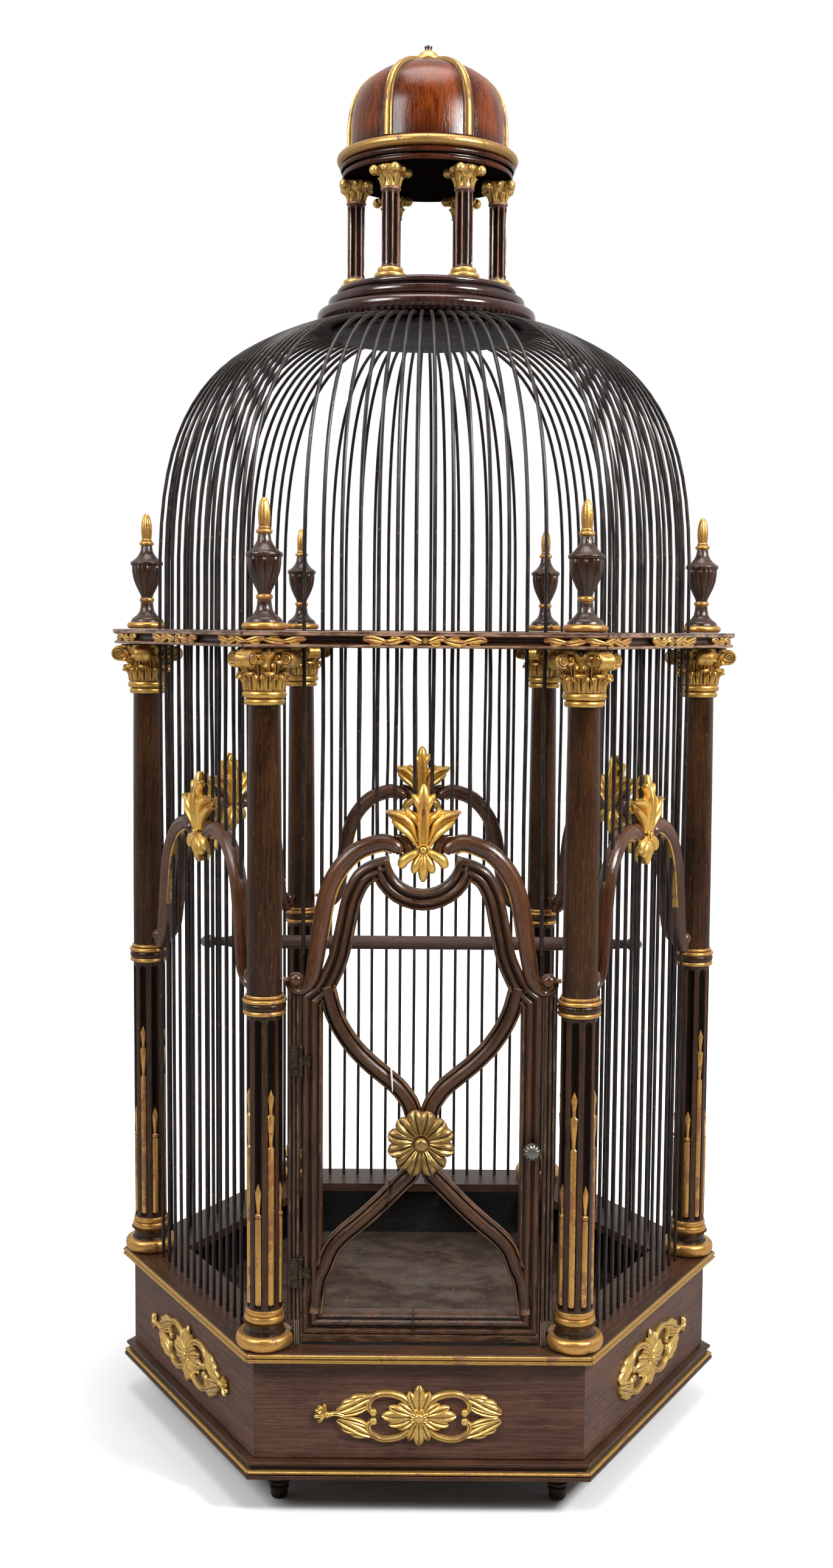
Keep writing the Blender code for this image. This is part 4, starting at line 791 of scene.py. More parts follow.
# The cornice: a hollow moulding in six mitred lengths on the capitals, with carved gilt sprays in
# the hollow, one in the middle of each side and one bent round each corner.
form = new_form()
boards(
    form,
    [(0.2032, 0.7581), (0.2622, 0.7581), (0.2627, 0.7586), (0.2627, 0.7602), (0.2606, 0.7612)]
    + bulge(0.26, 0.7614, 0.7668, -0.0022)
    + [(0.2626, 0.7676), (0.264, 0.7684), (0.264, 0.7712), (0.2634, 0.7719), (0.2032, 0.7719)]
)
CORNICE_WOOD = wood(
    "cornice_walnut", (0.022, 0.0075, 0.004), (0.09, 0.036, 0.019), (0.4, 0.25, 0.16), 0.28, 0.7,
    wear_and_highlight_from=0.7
)
settle(form, "cornice_moulding", CORNICE_WOOD, "cornice")
CORNICE_GILT = gilding(
    "cornice_gilding", (0.86, 0.52, 0.14), (0.09, 0.03, 0.01), (0.24, 0.055, 0.024), 0.6
)
HOLLOW_FACE = 0.2592
HOLLOW_HEIGHT = 0.7642
HOLLOW_BEND = 0.2588
MITRE_START = 0.2598 * MITRE
SPRAY = ((0.0, 0.016, 1), (0.014, 0.019, -1), (0.031, 0.019, 1))
SIDE_LEAVES = (
    (((0, -0.0016, 0), (0.4, 0.0002, 0.0016), (0.8, 0.002, 0.0022), (1.06, 0.0008, 0.001)), 0.0038),
    (((0.25, -0.0006, 0.001), (0.55, -0.0024, 0.0016), (0.78, -0.0016, 0.0006)), 0.0038 * 0.8),
)
CORNER_LEAVES = (
    (((0, -0.0014, 0), (0.4, 0.0002, 0.0012), (0.8, 0.0018, 0.0016), (1.05, 0.0008, 0.0006)), 0.0034),
    (((0.25, -0.0006, 0.0006), (0.55, -0.0022, 0.0012), (0.78, -0.0014, 0.0004)), 0.0028),
)


def half_spray(leaves):
    """The leaves on one hand of a spray: for each, its points (along, up, out) and its width."""
    for start, reach, rise in SPRAY:
        for points, wide in leaves:
            yield [(start + reach * share, rise * up, lift) for share, up, lift in points], wide


foliage = random.Random(11)
form = new_form()
for hand in (1, -1):
    for points, wide in half_spray(SIDE_LEAVES):
        spine = [
            Vector((hand * x, -HOLLOW_FACE - lift, HOLLOW_HEIGHT + (z + foliage.uniform(-0.0006, 0.0006))))
            for x, z, lift in points
        ]
        lobe(form, spine, wide * foliage.uniform(0.75, 1.1), 0.003, root=0.45, tip=0.4, fullest=0.6)
turned(form, bulge(0.003, -0.001, 0.0036, 0.0008), 14, place=facing((0, -HOLLOW_FACE, HOLLOW_HEIGHT)))
settle(form, "cornice_spray_", CORNICE_GILT, places=FACE_TURNS)
form = new_form()
for hand in (1, -1):
    turn = Matrix.Rotation(hand * SIXTH / 2, 3, "Z")
    for points, wide in half_spray(CORNER_LEAVES):
        spine = [
            turn @ Vector((HOLLOW_BEND + lift, hand * (x - MITRE_START), HOLLOW_HEIGHT + z))
            for x, z, lift in points
        ]
        lobe(form, spine, wide, 0.0028, up=turn @ Vector((1, 0, 0)), root=0.5, tip=0.4, fullest=0.6)
settle(form, "cornice_corner_spray_", CORNICE_GILT, places=CORNER_TURNS)

# The urns over the columns: turned walnut with a gadrooned bowl, a gilt foot ring and knop, and
# a gilt flame carved in lobes.
form = new_form()
turned(form, [(0.0158, 0.6286), (0.0158, 0.63), (0.0148, 0.6316), (0.0144, 0.6326), (0.0124, 0.634),
              (0.0096, 0.6362), (0.0072, 0.6396), (0.0063, 0.644), (0.0059, 0.6486)], 40)


def gadrooned(angle, height, radius):
    return radius * (1 - 0.085 * (1 - abs(math.sin(5 * angle)) ** 0.7))


turned(form, [(0.0053, 0.6526), (0.0064, 0.656), (0.0085, 0.66), (0.0113, 0.666), (0.0133, 0.672),
              (0.0143, 0.678), (0.0145, 0.6836), (0.0138, 0.6846)], 80, gadrooned)
turned(form, [(0.0136, 0.6836)] + bulge(0.014, 0.6838, 0.6884, 0.0018) + [(0.013, 0.6892), (0.0104, 0.6912),
              (0.0078, 0.6944), (0.006, 0.698), (0.0053, 0.7036)], 40)
URN_WOOD = wood(
    "urn_walnut", (0.011, 0.004, 0.002), (0.06, 0.021, 0.009), (0.3, 0.15, 0.065), 0.2, 0.4, shine=0.5
)
settle(form, "turned_urn_", URN_WOOD, "urn_", CAPITAL_PLACES)
form = new_form()
turned(form, [(0.015, 0.6227)] + bulge(0.0162, 0.6227, 0.6292, 0.0032) + [(0.014, 0.6292)], 40)
turned(form, bead(0.005, 0.0054, 0.6484, 0.653, 0.0018), 28)
turned(form, [(0.005, 0.7034)] + bulge(0.0052, 0.7034, 0.7072, 0.0019) + bulge(0.0044, 0.7072, 0.7096, 0.0008)
       + [(0.004, 0.7098)], 28)


def flame(angle, height, radius):
    twist = 5 * angle + (height - 0.71) * 60
    return radius * (1 - 0.13 * (1 - abs(math.sin(twist / 2))))


turned(form, [(0.0042, 0.709), (0.005, 0.712), (0.0054, 0.717), (0.0053, 0.722), (0.0046, 0.727),
              (0.0034, 0.731), (0.002, 0.7332), (0.0008, 0.7339)], 60, flame)
settle(form, "urn_gilding_", COLUMN_GILT, places=CAPITAL_PLACES)

# The arches: on each side two bent walnut bars spring from scrolls beside the columns and meet
# in a carved gilt leaf. Each is pinned to the columns, and the undersides are gilded.
WIRE_PLANE = 0.23495
SCROLL_X = 0.1087
SCROLL_Z = 0.3237 + BASE
ARCH_RISE = 0.1191
BAR_SHARES = (
    (1.066, 0.008, 0.15), (1.064, -0.034, 0.24), (1.033, -0.078, 0.35), (0.971, -0.091, 0.48),
    (0.91, -0.052, 0.66), (0.866, 0.026, 0.82), (0.843, 0.14, 0.92), (0.808, 0.35, 1.0),
    (0.757, 0.61, 1.0), (0.675, 0.785, 1.0),
    (0.53, 0.93, 1.0), (0.34, 1.0, 0.97), (0.24, 0.985, 0.9), (0.195, 0.955, 0.78), (0.176, 0.925, 0.45),
)
NOSE_SHARES = (
    (0.235, 1.045, 0.1), (0.19, 1.04, 0.34), (0.143, 1.01, 0.52), (0.113, 0.954, 0.62), (0.118, 0.905, 0.62),
    (0.136, 0.876, 0.5), (0.142, 0.862, 0.2),
)
BAR_SECTION = circle(16, 0.0077)
UNDERSIDE = ((-0.005, -0.0044), (-0.0082, -0.002), (-0.0082, 0.0024), (-0.005, 0.0044))
GILDED_STEPS = slice(34, 64)


def arch_point(hand, x, z):
    """A point of the arch, as shares of its scroll's distance from the middle and of its rise."""
    return Vector((hand * x * SCROLL_X, -WIRE_PLANE, SCROLL_Z + z * ARCH_RISE))


def swelling(widths):
    """How a bar swells from one end to the other, through widths at even steps."""

    def size(share):
        step = min(int(share * (len(widths) - 1)), len(widths) - 2)
        onward = share * (len(widths) - 1) - step
        wide = widths[step] * (1 - onward) + widths[step + 1] * onward
        return wide, min(1, wide * 1.25)

    return size


form = new_form()
under = new_form()
for hand in (1, -1):
    path = flowing([arch_point(hand, x, z) for x, z, wide in BAR_SHARES], 5)
    sweep(form, path, BAR_SECTION, up=FRONT, size=swelling([wide for x, z, wide in BAR_SHARES]))
    nose = flowing([arch_point(hand, x, z) for x, z, wide in NOSE_SHARES], 4)
    sweep(form, nose, BAR_SECTION, up=FRONT, size=swelling([wide for x, z, wide in NOSE_SHARES]))
    turned(form, bulge(0.0008, -0.0066, 0.0066, 0.0056, 12), 24, place=facing(arch_point(hand, 1, 0)))
    rod(form, [Vector((hand * x, -WIRE_PLANE, SCROLL_Z)) for x in (0.114, 0.1198)], 0.002, FRONT)
    sweep(under, path[GILDED_STEPS], [(hand * across, out) for across, out in UNDERSIDE], up=FRONT)
ARCH_WOOD = wood(
    "arch_walnut", (0.016, 0.0046, 0.0018), (0.12, 0.04, 0.013), (0.36, 0.19, 0.09), 0.19,
    wear_and_highlight_from=0.84, shine=0.6
)
settle(form, "arch_bars_", ARCH_WOOD, "arch_", FACE_TURNS)
settle(under, "arch_underside_", CAPITAL_GILT, places=FACE_TURNS)
LEAF_FOOT = 0.4101 + BASE
LEAF_HEIGHT = 0.0824
WING = (((0.0012, 0.5), (0.009, 0.6), (0.019, 0.66), (0.031, 0.704)), 0.0116, 0.0052)
LEAF_LOBES = (
    (((0, 0.3), (0, 0.55), (0, 0.84), (0, 1.0)), 0.0054, 0.005, 0.34),
    (((0.003, 0.36), (0.0032, 0.52), (0.0031, 0.68), (0.0016, 0.88)), 0.0023, 0.0084, 0.4),
    (((0.0024, 0.7), (0.0052, 0.82), (0.0086, 0.89)), 0.0032, 0.006, 0.62),
    (((0.0034, 0.56), (0.0078, 0.66), (0.011, 0.69), (0.0138, 0.73)), 0.003, 0.0064, 0.62),
    (((0.005, 0.42), (0.0102, 0.6), (0.019, 0.688), (0.0316, 0.718)), 0.0029, 0.0078, 0.34),
    (((0.005, 0.37), (0.0124, 0.49), (0.019, 0.56), (0.0256, 0.628)), 0.0034, 0.007, 0.55),
    (((0, 0.3), (0, 0.15), (0, 0.0)), 0.0044, 0.006, 0.4),
    (((0.002, 0.28), (0.0056, 0.18), (0.0082, 0.095)), 0.0038, 0.0052, 0.6),
    (((0.0044, 0.31), (0.0102, 0.268), (0.0158, 0.222), (0.0186, 0.16)), 0.0046, 0.006, 0.8),
)
BACKING = mirrored([(-0.0055, 0.003), (-0.0055, -0.004)])
LEAF_GILT = gilding(
    "leaf_gilding", (0.88, 0.55, 0.135), (0.05, 0.021, 0.005), (0.22, 0.07, 0.028), 0.12, 0.16
)


def leaf_point(x, z, out):
    """A point of the leaf, with its height as a share of the leaf's."""
    return Vector((x, -WIRE_PLANE - out, LEAF_FOOT + z * LEAF_HEIGHT))


form = new_form()
for outward in (1, -1):
    for shares, wide, tall, tip in LEAF_LOBES:
        rises = [0.0012] + [0.0028] * (len(shares) - 2) + [0.001]
        for hand in (1, -1) if shares[-1][0] else (1,):
            path = [leaf_point(hand * x, z, outward * rise) for (x, z), rise in zip(shares, rises)]
            lobe(form, path, wide, tall, up=FRONT * outward, root=0.6, tip=tip, fullest=0.62, blunt=2.6,
                 section=PLAIN_LOBE)
    for hand in (1, -1):
        shares, wide, tall = WING
        path = [leaf_point(hand * x, z, outward * 0.001) for x, z in shares]
        lobe(form, path, wide, tall, up=FRONT * outward, root=0.95, tip=0.05, fullest=0.12, blunt=1.3)
boss = (
    [(0.0044, -0.003), (0.005, -0.0006)] + bulge(0.0046, -0.0004, 0.0018, 0.0008)
    + [(0.0036, 0.0012), (0.0032, 0.0006)] + bulge(0.0012, 0.0004, 0.0034, 0.0018, 8)
)
turned(form, boss, 28, place=facing(leaf_point(0, 0.33, 0.006)))
backbone = [leaf_point(0, z, -0.001) for z in (0.08, 0.3, 0.5, 0.92)]
sweep(form, backbone, BACKING, up=FRONT, size=swelling((0.6, 1.0, 0.9, 0.35)))
settle(form, "arch_leaf_", LEAF_GILT, places=FACE_TURNS)

# The wires: dark iron wire, straight from the base up through the cornice, then bent over as the
# dome and soldered to a hoop under the collar. Short ones fill the five sides below the arches.
WIRES = 14
WIRE_STEPS = [index - (WIRES - 1) / 2 for index in range(WIRES)]
WIRE_PITCH = 0.0157
WIRE_RADIUS = 0.0017
LEAN = 0.0007
BOW = 0.0006
CORNICE_Z = 0.772
DOME_RISE = 0.2896
HOOP_CIRCLE = 0.086
HOOP_GAP = 0.0035
rules = random.Random(7)


def metal(name, slot, swings, metallic, blotched, roughness, depth, strength=0.5):
    """Old metal with dull blotches, and the blotches themselves. Its colour is still to be painted."""
    finish = Finish(name, slot)
    blotches = finish.noise(finish.attribute("grain", 1), swings, 4.0, 0.6)
    finish.set("Metallic", metallic)
    finish.set("Roughness", blotches * blotched + roughness)
    finish.bump(blotches, depth, strength)
    return finish, blotches


wire, rust = metal("dark_wire", "wire_iron", (60, 260, 260), 0.35, 0.35, 0.22, 0.0002, 0.6)
flecks = wire.noise(wire.attribute("grain", 1), (210, 520, 520), 2.0).between(0.68, 0.73)
colour = wire.mix(rust.between(0.4, 0.7), (0.01, 0.0065, 0.006), (0.03, 0.019, 0.015))
wire.paint(wire.mix(flecks, colour, (0.22, 0.105, 0.045)))


def bar_clearance(x):
    """Height over the arch's bar or leaf at which a long wire starts, and where a short one ends."""
    points = [(a * SCROLL_X, SCROLL_Z + b * ARCH_RISE) for a, b, wide in BAR_SHARES[4:]]
    for (x0, z0), (x1, z1) in zip(points, points[1:]):
        if x1 <= x <= x0:
            return z0 + (z1 - z0) * (x0 - x) / (x0 - x1)
    return SCROLL_Z + 0.02 if x > 0.05 else LEAF_FOOT + 0.03


def hoop_point(angle, height):
    return Vector((HOOP_CIRCLE * math.cos(angle), HOOP_CIRCLE * math.sin(angle), height))


for face, turn in FACE_TURNS.items():
    form = new_form()
    for across in WIRE_STEPS:
        x = across * WIRE_PITCH
        foot = bar_clearance(abs(x)) + 0.002
        lean = rules.uniform(-LEAN, LEAN)
        bow = rules.uniform(-BOW, BOW)
        path = []
        for step in range(6):
            share = step / 6
            wander = lean * share * (1 - share) * 4 + bow * math.sin(share * TURN)
            path.append(Vector((x + wander, -WIRE_PLANE + wander * 0.6, foot + (CORNICE_Z - foot) * share)))
        start = Vector((x, -WIRE_PLANE, CORNICE_Z))
        angle = across * SIXTH / WIRES - TURN / 4
        end = hoop_point(angle, CORNICE_Z)
        for step in range(21):
            quarter = (step / 20) * TURN / 4
            place = end + (start - end) * math.cos(quarter)
            place.z = CORNICE_Z + DOME_RISE * math.sin(quarter) ** (2 / 3.5)
            path.append(place)
        steady = Vector((math.sin(angle + TURN / 4) * 0.9 + 0.01, -0.2, 0.97)).normalized()
        rod(form, path, WIRE_RADIUS, steady)
    first = -TURN / 4 - SIXTH / 2 + HOOP_GAP
    hoop = [hoop_point(first + (SIXTH - 2 * HOOP_GAP) * step / 8, CORNICE_Z + DOME_RISE) for step in range(9)]
    rod(form, hoop, 0.002, Vector((0, 0, 1)))
    settle(form, "long_wires_", wire, "wires_", {face: turn})
    if face != "front":
        form = new_form()
        for across in WIRE_STEPS:
            x = across * WIRE_PITCH
            rise = bar_clearance(abs(x)) - BASE
            lean = rules.uniform(-LEAN, LEAN)
            path = [
                Vector((x + lean * math.sin(share * math.pi), -WIRE_PLANE, BASE + 0.0004 + rise * share))
                for share in (0, 0.25, 0.5, 0.75, 1)
            ]
            rod(form, path, WIRE_RADIUS, FRONT)
        settle(form, "short_wires_", wire, places={face: turn})

# The door: a moulded walnut frame with a notched head, crossed curved struts, a pane of glass
# behind them, and a carved gilt rosette on the crossing.
DOOR_FRONT = -0.23995
DOOR_HALF = 0.1032
DOOR_FOOT = 0.003
DOOR_SHOULDER = 0.31
DOOR_PEAK = 0.4305
NOTCH_RADIUS = 0.0292
SHOULDER_SHARES = (
    (1.0, 0.0), (0.868, 0.067), (0.77, 0.177), (0.691, 0.297), (0.642, 0.431), (0.602, 0.552), (0.552, 0.696),
    (0.473, 0.816), (0.376, 0.9), (0.222, 0.96), (0.0, 1.0),
)
FRAME_SECTION = [
    (0.0, 0.018), (0.0, 0.0026), (0.001, 0.0008), (0.0026, 0.0), (0.0044, 0.0006), (0.0054, 0.0022),
    (0.0058, 0.0042), (0.0066, 0.0044), (0.0074, 0.003), (0.0092, 0.0016), (0.0112, 0.0018), (0.0126, 0.0032),
    (0.0132, 0.005), (0.014, 0.005), (0.0148, 0.0038), (0.016, 0.0036), (0.017, 0.0048), (0.0175, 0.007),
    (0.0175, 0.018),
]
shoulder = flowing([
    (NOTCH_RADIUS + x * (DOOR_HALF - NOTCH_RADIUS), DOOR_SHOULDER + z * (DOOR_PEAK - DOOR_SHOULDER))
    for x, z in SHOULDER_SHARES
], 3)
half = [Vector((DOOR_HALF, height)) for height in (DOOR_FOOT + 0.0063, 0.1, 0.2)] + shoulder
notch = [
    Vector((NOTCH_RADIUS * math.cos(angle), DOOR_PEAK - NOTCH_RADIUS * math.sin(angle)))
    for angle in [math.pi * step / 16 for step in range(1, 16)]
]
outline = half + notch + [Vector((-point.x, point.y)) for point in half[::-1]]
form = new_form()
sweep(form, [Vector((point.x, DOOR_FRONT, BASE + point.y)) for point in outline],
      [(-across, -back) for across, back in FRAME_SECTION], up=FRONT, closed=True)
RAIL_SECTION = [
    (-0.0088, -0.018), (-0.0088, -0.003), (-0.0066, -0.0004), (-0.0008, -0.0004), (0.0, -0.0012),
    (0.0, -0.018),
]
rail = [Vector((x, DOOR_FRONT, BASE + DOOR_FOOT)) for x in (-DOOR_HALF, 0, DOOR_HALF)]
sweep(form, rail, RAIL_SECTION, up=FRONT)
DOOR_WOOD = wood(
    "door_walnut", (0.011, 0.0042, 0.002), (0.082, 0.033, 0.013), (0.27, 0.145, 0.07), 0.21,
    wear_and_highlight_from=0.8, shine=0.38
)
HUB = 0.1826
UPPER_STRUT = (
    (0.8, 1.06), (0.784, 1.005), (0.744, 0.888), (0.674, 0.767), (0.563, 0.637), (0.431, 0.528),
    (0.315, 0.449), (0.199, 0.369), (0.127, 0.294), (0.081, 0.222),
)
LOWER_STRUT = (
    (0.079, 0.154), (0.149, 0.203), (0.254, 0.265), (0.381, 0.338), (0.516, 0.409), (0.647, 0.473),
    (0.748, 0.54), (0.817, 0.638), (0.862, 0.7), (0.9, 0.86),
)
STRUT_DEPTH = 0.01
STRUT_SECTION = mirrored([
    (-0.0079, 0.0), (-0.0079, 0.0044), (-0.007, 0.0062), (-0.0058, 0.0062), (-0.005, 0.005),
    (-0.0038, 0.0076), (-0.0016, 0.0089),
])
for hand in (1, -1):
    points = [(-hand * x * DOOR_HALF, HUB + z * (DOOR_SHOULDER - HUB)) for x, z in UPPER_STRUT]
    points.append((0, HUB))
    points += [(hand * x * DOOR_HALF, HUB - z * (HUB - DOOR_FOOT)) for x, z in LOWER_STRUT]
    path = flowing([Vector((x, DOOR_FRONT + STRUT_DEPTH + hand * 0.00002, BASE + z)) for x, z in points], 4)
    sweep(form, path, STRUT_SECTION, up=FRONT)
hub = facing((0, DOOR_FRONT + STRUT_DEPTH, BASE + HUB))
turned(form, [(0.02, 0.0002), (0.02, 0.006), (0.019, 0.0068)], 32, place=hub)
settle(form, "moulded_door_frame", DOOR_WOOD, "door_frame", body="door")
glass = Finish("old_glass", "glass")
haze = glass.noise(glass.coordinates("Object"), (30, 30, 22), 5.0, 0.65)
glass.paint(glass.mix(haze, (0.35, 0.38, 0.37), (0.55, 0.56, 0.54)))
glass.set("Alpha", haze.between(0.55, 0.85) * 0.05 + 0.006)
glass.set("Roughness", 0.06)
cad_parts["door_glass"].material_slots[0].material = glass.material
PETALS = 12
petals = random.Random(3)
form = new_form()
for index in range(PETALS):
    angle = (index + 0.5 + petals.uniform(-0.12, 0.12)) * TURN / PETALS
    aim = Vector((math.sin(angle), 0, math.cos(angle)))
    centre = Vector((0, DOOR_FRONT - 0.0008 - petals.uniform(0, 0.0005), BASE + HUB))
    tip = centre + aim * petals.uniform(0.0276, 0.0292)
    spine = [centre + aim * 0.006, centre + aim * 0.018 + FRONT * 0.0026, tip]
    lobe(form, spine, 0.007, 0.0048, root=0.3, tip=0.4, fullest=0.74, blunt=2.6)
    for lean in (-0.17, 0.17):
        aim = Vector((math.sin(angle + lean), 0, math.cos(angle + lean)))
        spine = [centre + aim * 0.008, centre + aim * 0.018 + FRONT * 0.0034, centre + aim * 0.0262]
        lobe(form, spine, 0.0026, 0.0042, root=0.4, tip=0.5, fullest=0.6, blunt=2.4)
rosette = facing((0, DOOR_FRONT - 0.0003, BASE + HUB))
turned(form, [(0.023, -0.0005), (0.023, 0.0004), (0.015, 0.001)], 36, place=rosette)
button = [(0.0078, 0.001), (0.0086, 0.0034), (0.008, 0.0046), (0.007, 0.0044), (0.006, 0.0036)]
turned(form, button + bulge(0.0022, 0.0036, 0.011, 0.0038, 10), 36, place=rosette)
ROSETTE_GILT = gilding(
    "rosette_gilding", (0.4, 0.255, 0.085), (0.04, 0.021, 0.007), (0.16, 0.07, 0.032), 0.15
)
settle(form, "carved_rosette", ROSETTE_GILT, "door_rosette", body="door")

# Four splits in the door, where its joints have opened: fine gaps across the bars, with a dark
# sheet of painted shade in three of them and a pale sheet of painted light, as daylight, in the widest.
SPLITS = (
    (((-0.0262, 0.3955), (-0.0254, 0.386), (-0.025, 0.3768)), 0.0007),
    (((-0.028, 0.2951), (-0.0276, 0.2705)), 0.0003),
    (((-0.0058, 0.18), (-0.0056, 0.159)), 0.0004),
    (((-0.006, 0.547), (-0.0058, 0.529)), 0.0002),
)
SPLIT_SECTION = [(-1, 0.0012), (1, 0.0012), (1, -0.008), (-1, -0.008)]
# Painted shade in three gaps, and painted light in the widest.
gap_shade = wood("split_shade", (0.004, 0.003, 0.0025), (0.012, 0.009, 0.007), (0.08, 0.06, 0.05), 0.7, shine=0.05)
daylight = wood("pale_split", (0.55, 0.5, 0.44), (0.8, 0.76, 0.7), (0.9, 0.88, 0.84), 0.7, shine=0.05)
for index, (points, wide) in enumerate(SPLITS):
    form = new_form()
    gap = [Vector((x, DOOR_FRONT + 0.0008, z)) for x, z in points]
    gap = [gap[0] + (gap[0] - gap[1]) * 0.05] + gap
    sweep(form, gap, SPLIT_SECTION, up=FRONT,
          size=lambda share: (wide * (0.4 + 0.6 * math.sin(share * math.pi)), 1))
    settle(form, "door_split_" + str(index + 1), gap_shade if index else daylight, body="door")

# The knob: cast pewter, fluted, on a spindle through the stile. A quarter turn brings its tongue
# from behind the stile to behind the post.
pewter, dull = metal("worn_pewter", "pewter", (300, 300, 300), 0.9, 0.3, 0.22, 0.0003)
tarnish = (dull * 0.6 - pewter.attribute("relief", 2)).between(0.1, 0.6)
pewter.paint(pewter.mix(tarnish, (0.2, 0.185, 0.17), (0.018, 0.014, 0.012)))
KNOB_X = 0.0954
KNOB = facing((KNOB_X, -0.2402, 0.3275))
KNOB_PROFILE = [
    (0.0048, 0.0), (0.0048, 0.0014), (0.0038, 0.0026), (0.0037, 0.0052), (0.006, 0.0068), (0.0074, 0.009),
    (0.0078, 0.0108), (0.0072, 0.0128), (0.0058, 0.0142), (0.0036, 0.0152), (0.0018, 0.0155),
]
TONGUE_SECTION = mirrored([(-0.0044, -0.0014), (-0.0044, 0.001), (-0.0036, 0.0014)])


def twelve_lobed(angle, height, radius):
    return radius * (0.84 + 0.16 * abs(math.sin(6 * angle)) ** 0.7) if radius > 0.005 else radius


form = new_form()
turned(form, KNOB_PROFILE, 72, twelve_lobed, KNOB)
turned(form, [(0.0027, -0.02), (0.0027, 0.0005)], 16, place=KNOB)
tongue = [Vector((KNOB_X, -0.22015, z)) for z in (0.3315, 0.3275, 0.315, 0.304)]
sweep(form, tongue, TONGUE_SECTION, up=FRONT)
settle(form, "fluted_knob", pewter, "door_knob", body="latch")

# The doorposts: two reeded uprights beside the door, coped over the feet of the columns. The
# left one carries the fixed halves of two small brass butt hinges.
POST_SECTION = [
    (-0.005, 0.0), (-0.0052, 0.0168), (-0.0044, 0.0178), (-0.0024, 0.0178), (-0.0016, 0.0164),
    (-0.0006, 0.0178), (0.0014, 0.0178), (0.0022, 0.0164), (0.003, 0.0178), (0.0046, 0.0178),
    (0.0052, 0.0168), (0.005, 0.0),
]
COPED = 0.45
COPED_TO = BASE + 0.0232
POST_WOOD = wood("post_walnut", (0.018, 0.009, 0.006), (0.062, 0.033, 0.02), (0.26, 0.17, 0.11), 0.34, 0.6)
for hand, name in ((-1, "left"), (1, "right")):
    form = new_form()
    path = [Vector((hand * 0.1105, DOOR_FRONT + 0.018, z)) for z in (COPED_TO, 0.22, 0.28, 0.34, 0.4, 0.4603)]
    sweep(form, path, POST_SECTION, up=FRONT)
    path = [Vector((hand * 0.10765, DOOR_FRONT + 0.018, z)) for z in (BASE + 0.0005, COPED_TO)]
    sweep(form, path, [(x * COPED, out) for x, out in POST_SECTION], up=FRONT)
    settle(form, "reeded_post_" + name, POST_WOOD, "door_post_" + name)
brass, dull = metal("dull_brass", "old_brass", (240, 240, 240), 0.85, 0.35, 0.25, 0.0002)
brass.paint(brass.mix(dull.between(0.35, 0.7), (0.085, 0.058, 0.034), (0.028, 0.019, 0.014)))
HINGE_X = -0.10425
HINGE_Y = -0.24225
HINGE_FEET = {"lower": BASE + 0.052, "upper": BASE + 0.24}
LEAF_SECTION = [(-0.0033, -0.0004), (-0.0033, 0.0003), (-0.0028, 0.0005), (0.0028, 0.0005), (0.003, -0.0004)]
ARM_SECTION = mirrored([(-0.004, -0.0004), (-0.004, 0.0004)])
TAB_SECTION = mirrored([(-0.0041, -0.0006), (-0.0041, 0.0006)])
for name, foot in HINGE_FEET.items():
    form = new_form()
    knuckle = Matrix.Translation((HINGE_X, HINGE_Y, foot))
    turned(form, [(0.0016, 0.0), (0.002, 0.0005), (0.002, 0.0088)], 16, place=knuckle)
    turned(form, [(0.002, 0.0182), (0.002, 0.0265), (0.0016, 0.027)], 16, place=knuckle)
    turned(form, [(0.0009, 0.005), (0.0009, 0.022)], 10, place=knuckle)
    leaf = [Vector((HINGE_X - 0.0052, HINGE_Y + 0.00155, foot + z)) for z in (0.0002, 0.0135, 0.0268)]
    sweep(form, leaf, LEAF_SECTION, up=FRONT)
    for z in (0.0044, 0.0226):
        arm = [Vector((x, HINGE_Y + 0.0012, foot + z)) for x in (HINGE_X - 0.0032, HINGE_X - 0.0008)]
        sweep(form, arm, ARM_SECTION, up=FRONT)
        screw = facing((HINGE_X - 0.0056, HINGE_Y + 0.0013, foot + z))
        turned(form, bulge(0.001, -0.0004, 0.0007, 0.0004), 12, place=screw)
    settle(form, "butt_hinge_" + name, brass, "hinge_" + name)
    form = new_form()
    turned(form, [(0.002, 0.0094), (0.002, 0.0176)], 16, place=knuckle)
    tab = [Vector((x, HINGE_Y + 0.0014, foot + 0.0135)) for x in (HINGE_X + 0.0012, HINGE_X + 0.0085)]
    sweep(form, tab, TAB_SECTION, up=FRONT)
    settle(form, "hinge_tab_" + name, brass, body="door")

# The perch: a round walnut stick right across the cage, scratched by claws, held between pairs
# of wires at its necks, with a small twisted silvered bud at each end.
ACROSS = Matrix.Translation((0, 0.1039, 0.4436)) @ Matrix.Rotation(TURN / 4, 4, "Y")
PERCH_WOOD = wood(
    "perch_wood", (0.04, 0.019, 0.015), (0.1, 0.055, 0.044), (0.32, 0.24, 0.2), 0.42, 0.9
)
form = new_form()
stick = [(0.0047, 0.2172), (0.0047, 0.2056), (0.007, 0.1985), (0.0072, 0.19), (0.0071, 0.12), (0.0072, 0.05)]
turned(form, [(radius, -along) for radius, along in stick] + stick[::-1], 28, place=ACROSS)
settle(form, "scratched_perch", PERCH_WOOD, "perch")


def twisted(angle, height, radius):
    return radius * (0.86 + 0.14 * abs(math.sin(3 * angle + height * 260)))


form = new_form()
bud = [(0.004, 0.217), (0.0062, 0.2195), (0.0072, 0.224), (0.0066, 0.228), (0.0044, 0.2316), (0.0016, 0.2334)]
for hand in (1, -1):
    turned(form, [(radius, hand * along) for radius, along in bud][::hand], 48, twisted, ACROSS)
settle(form, "perch_buds", pewter)

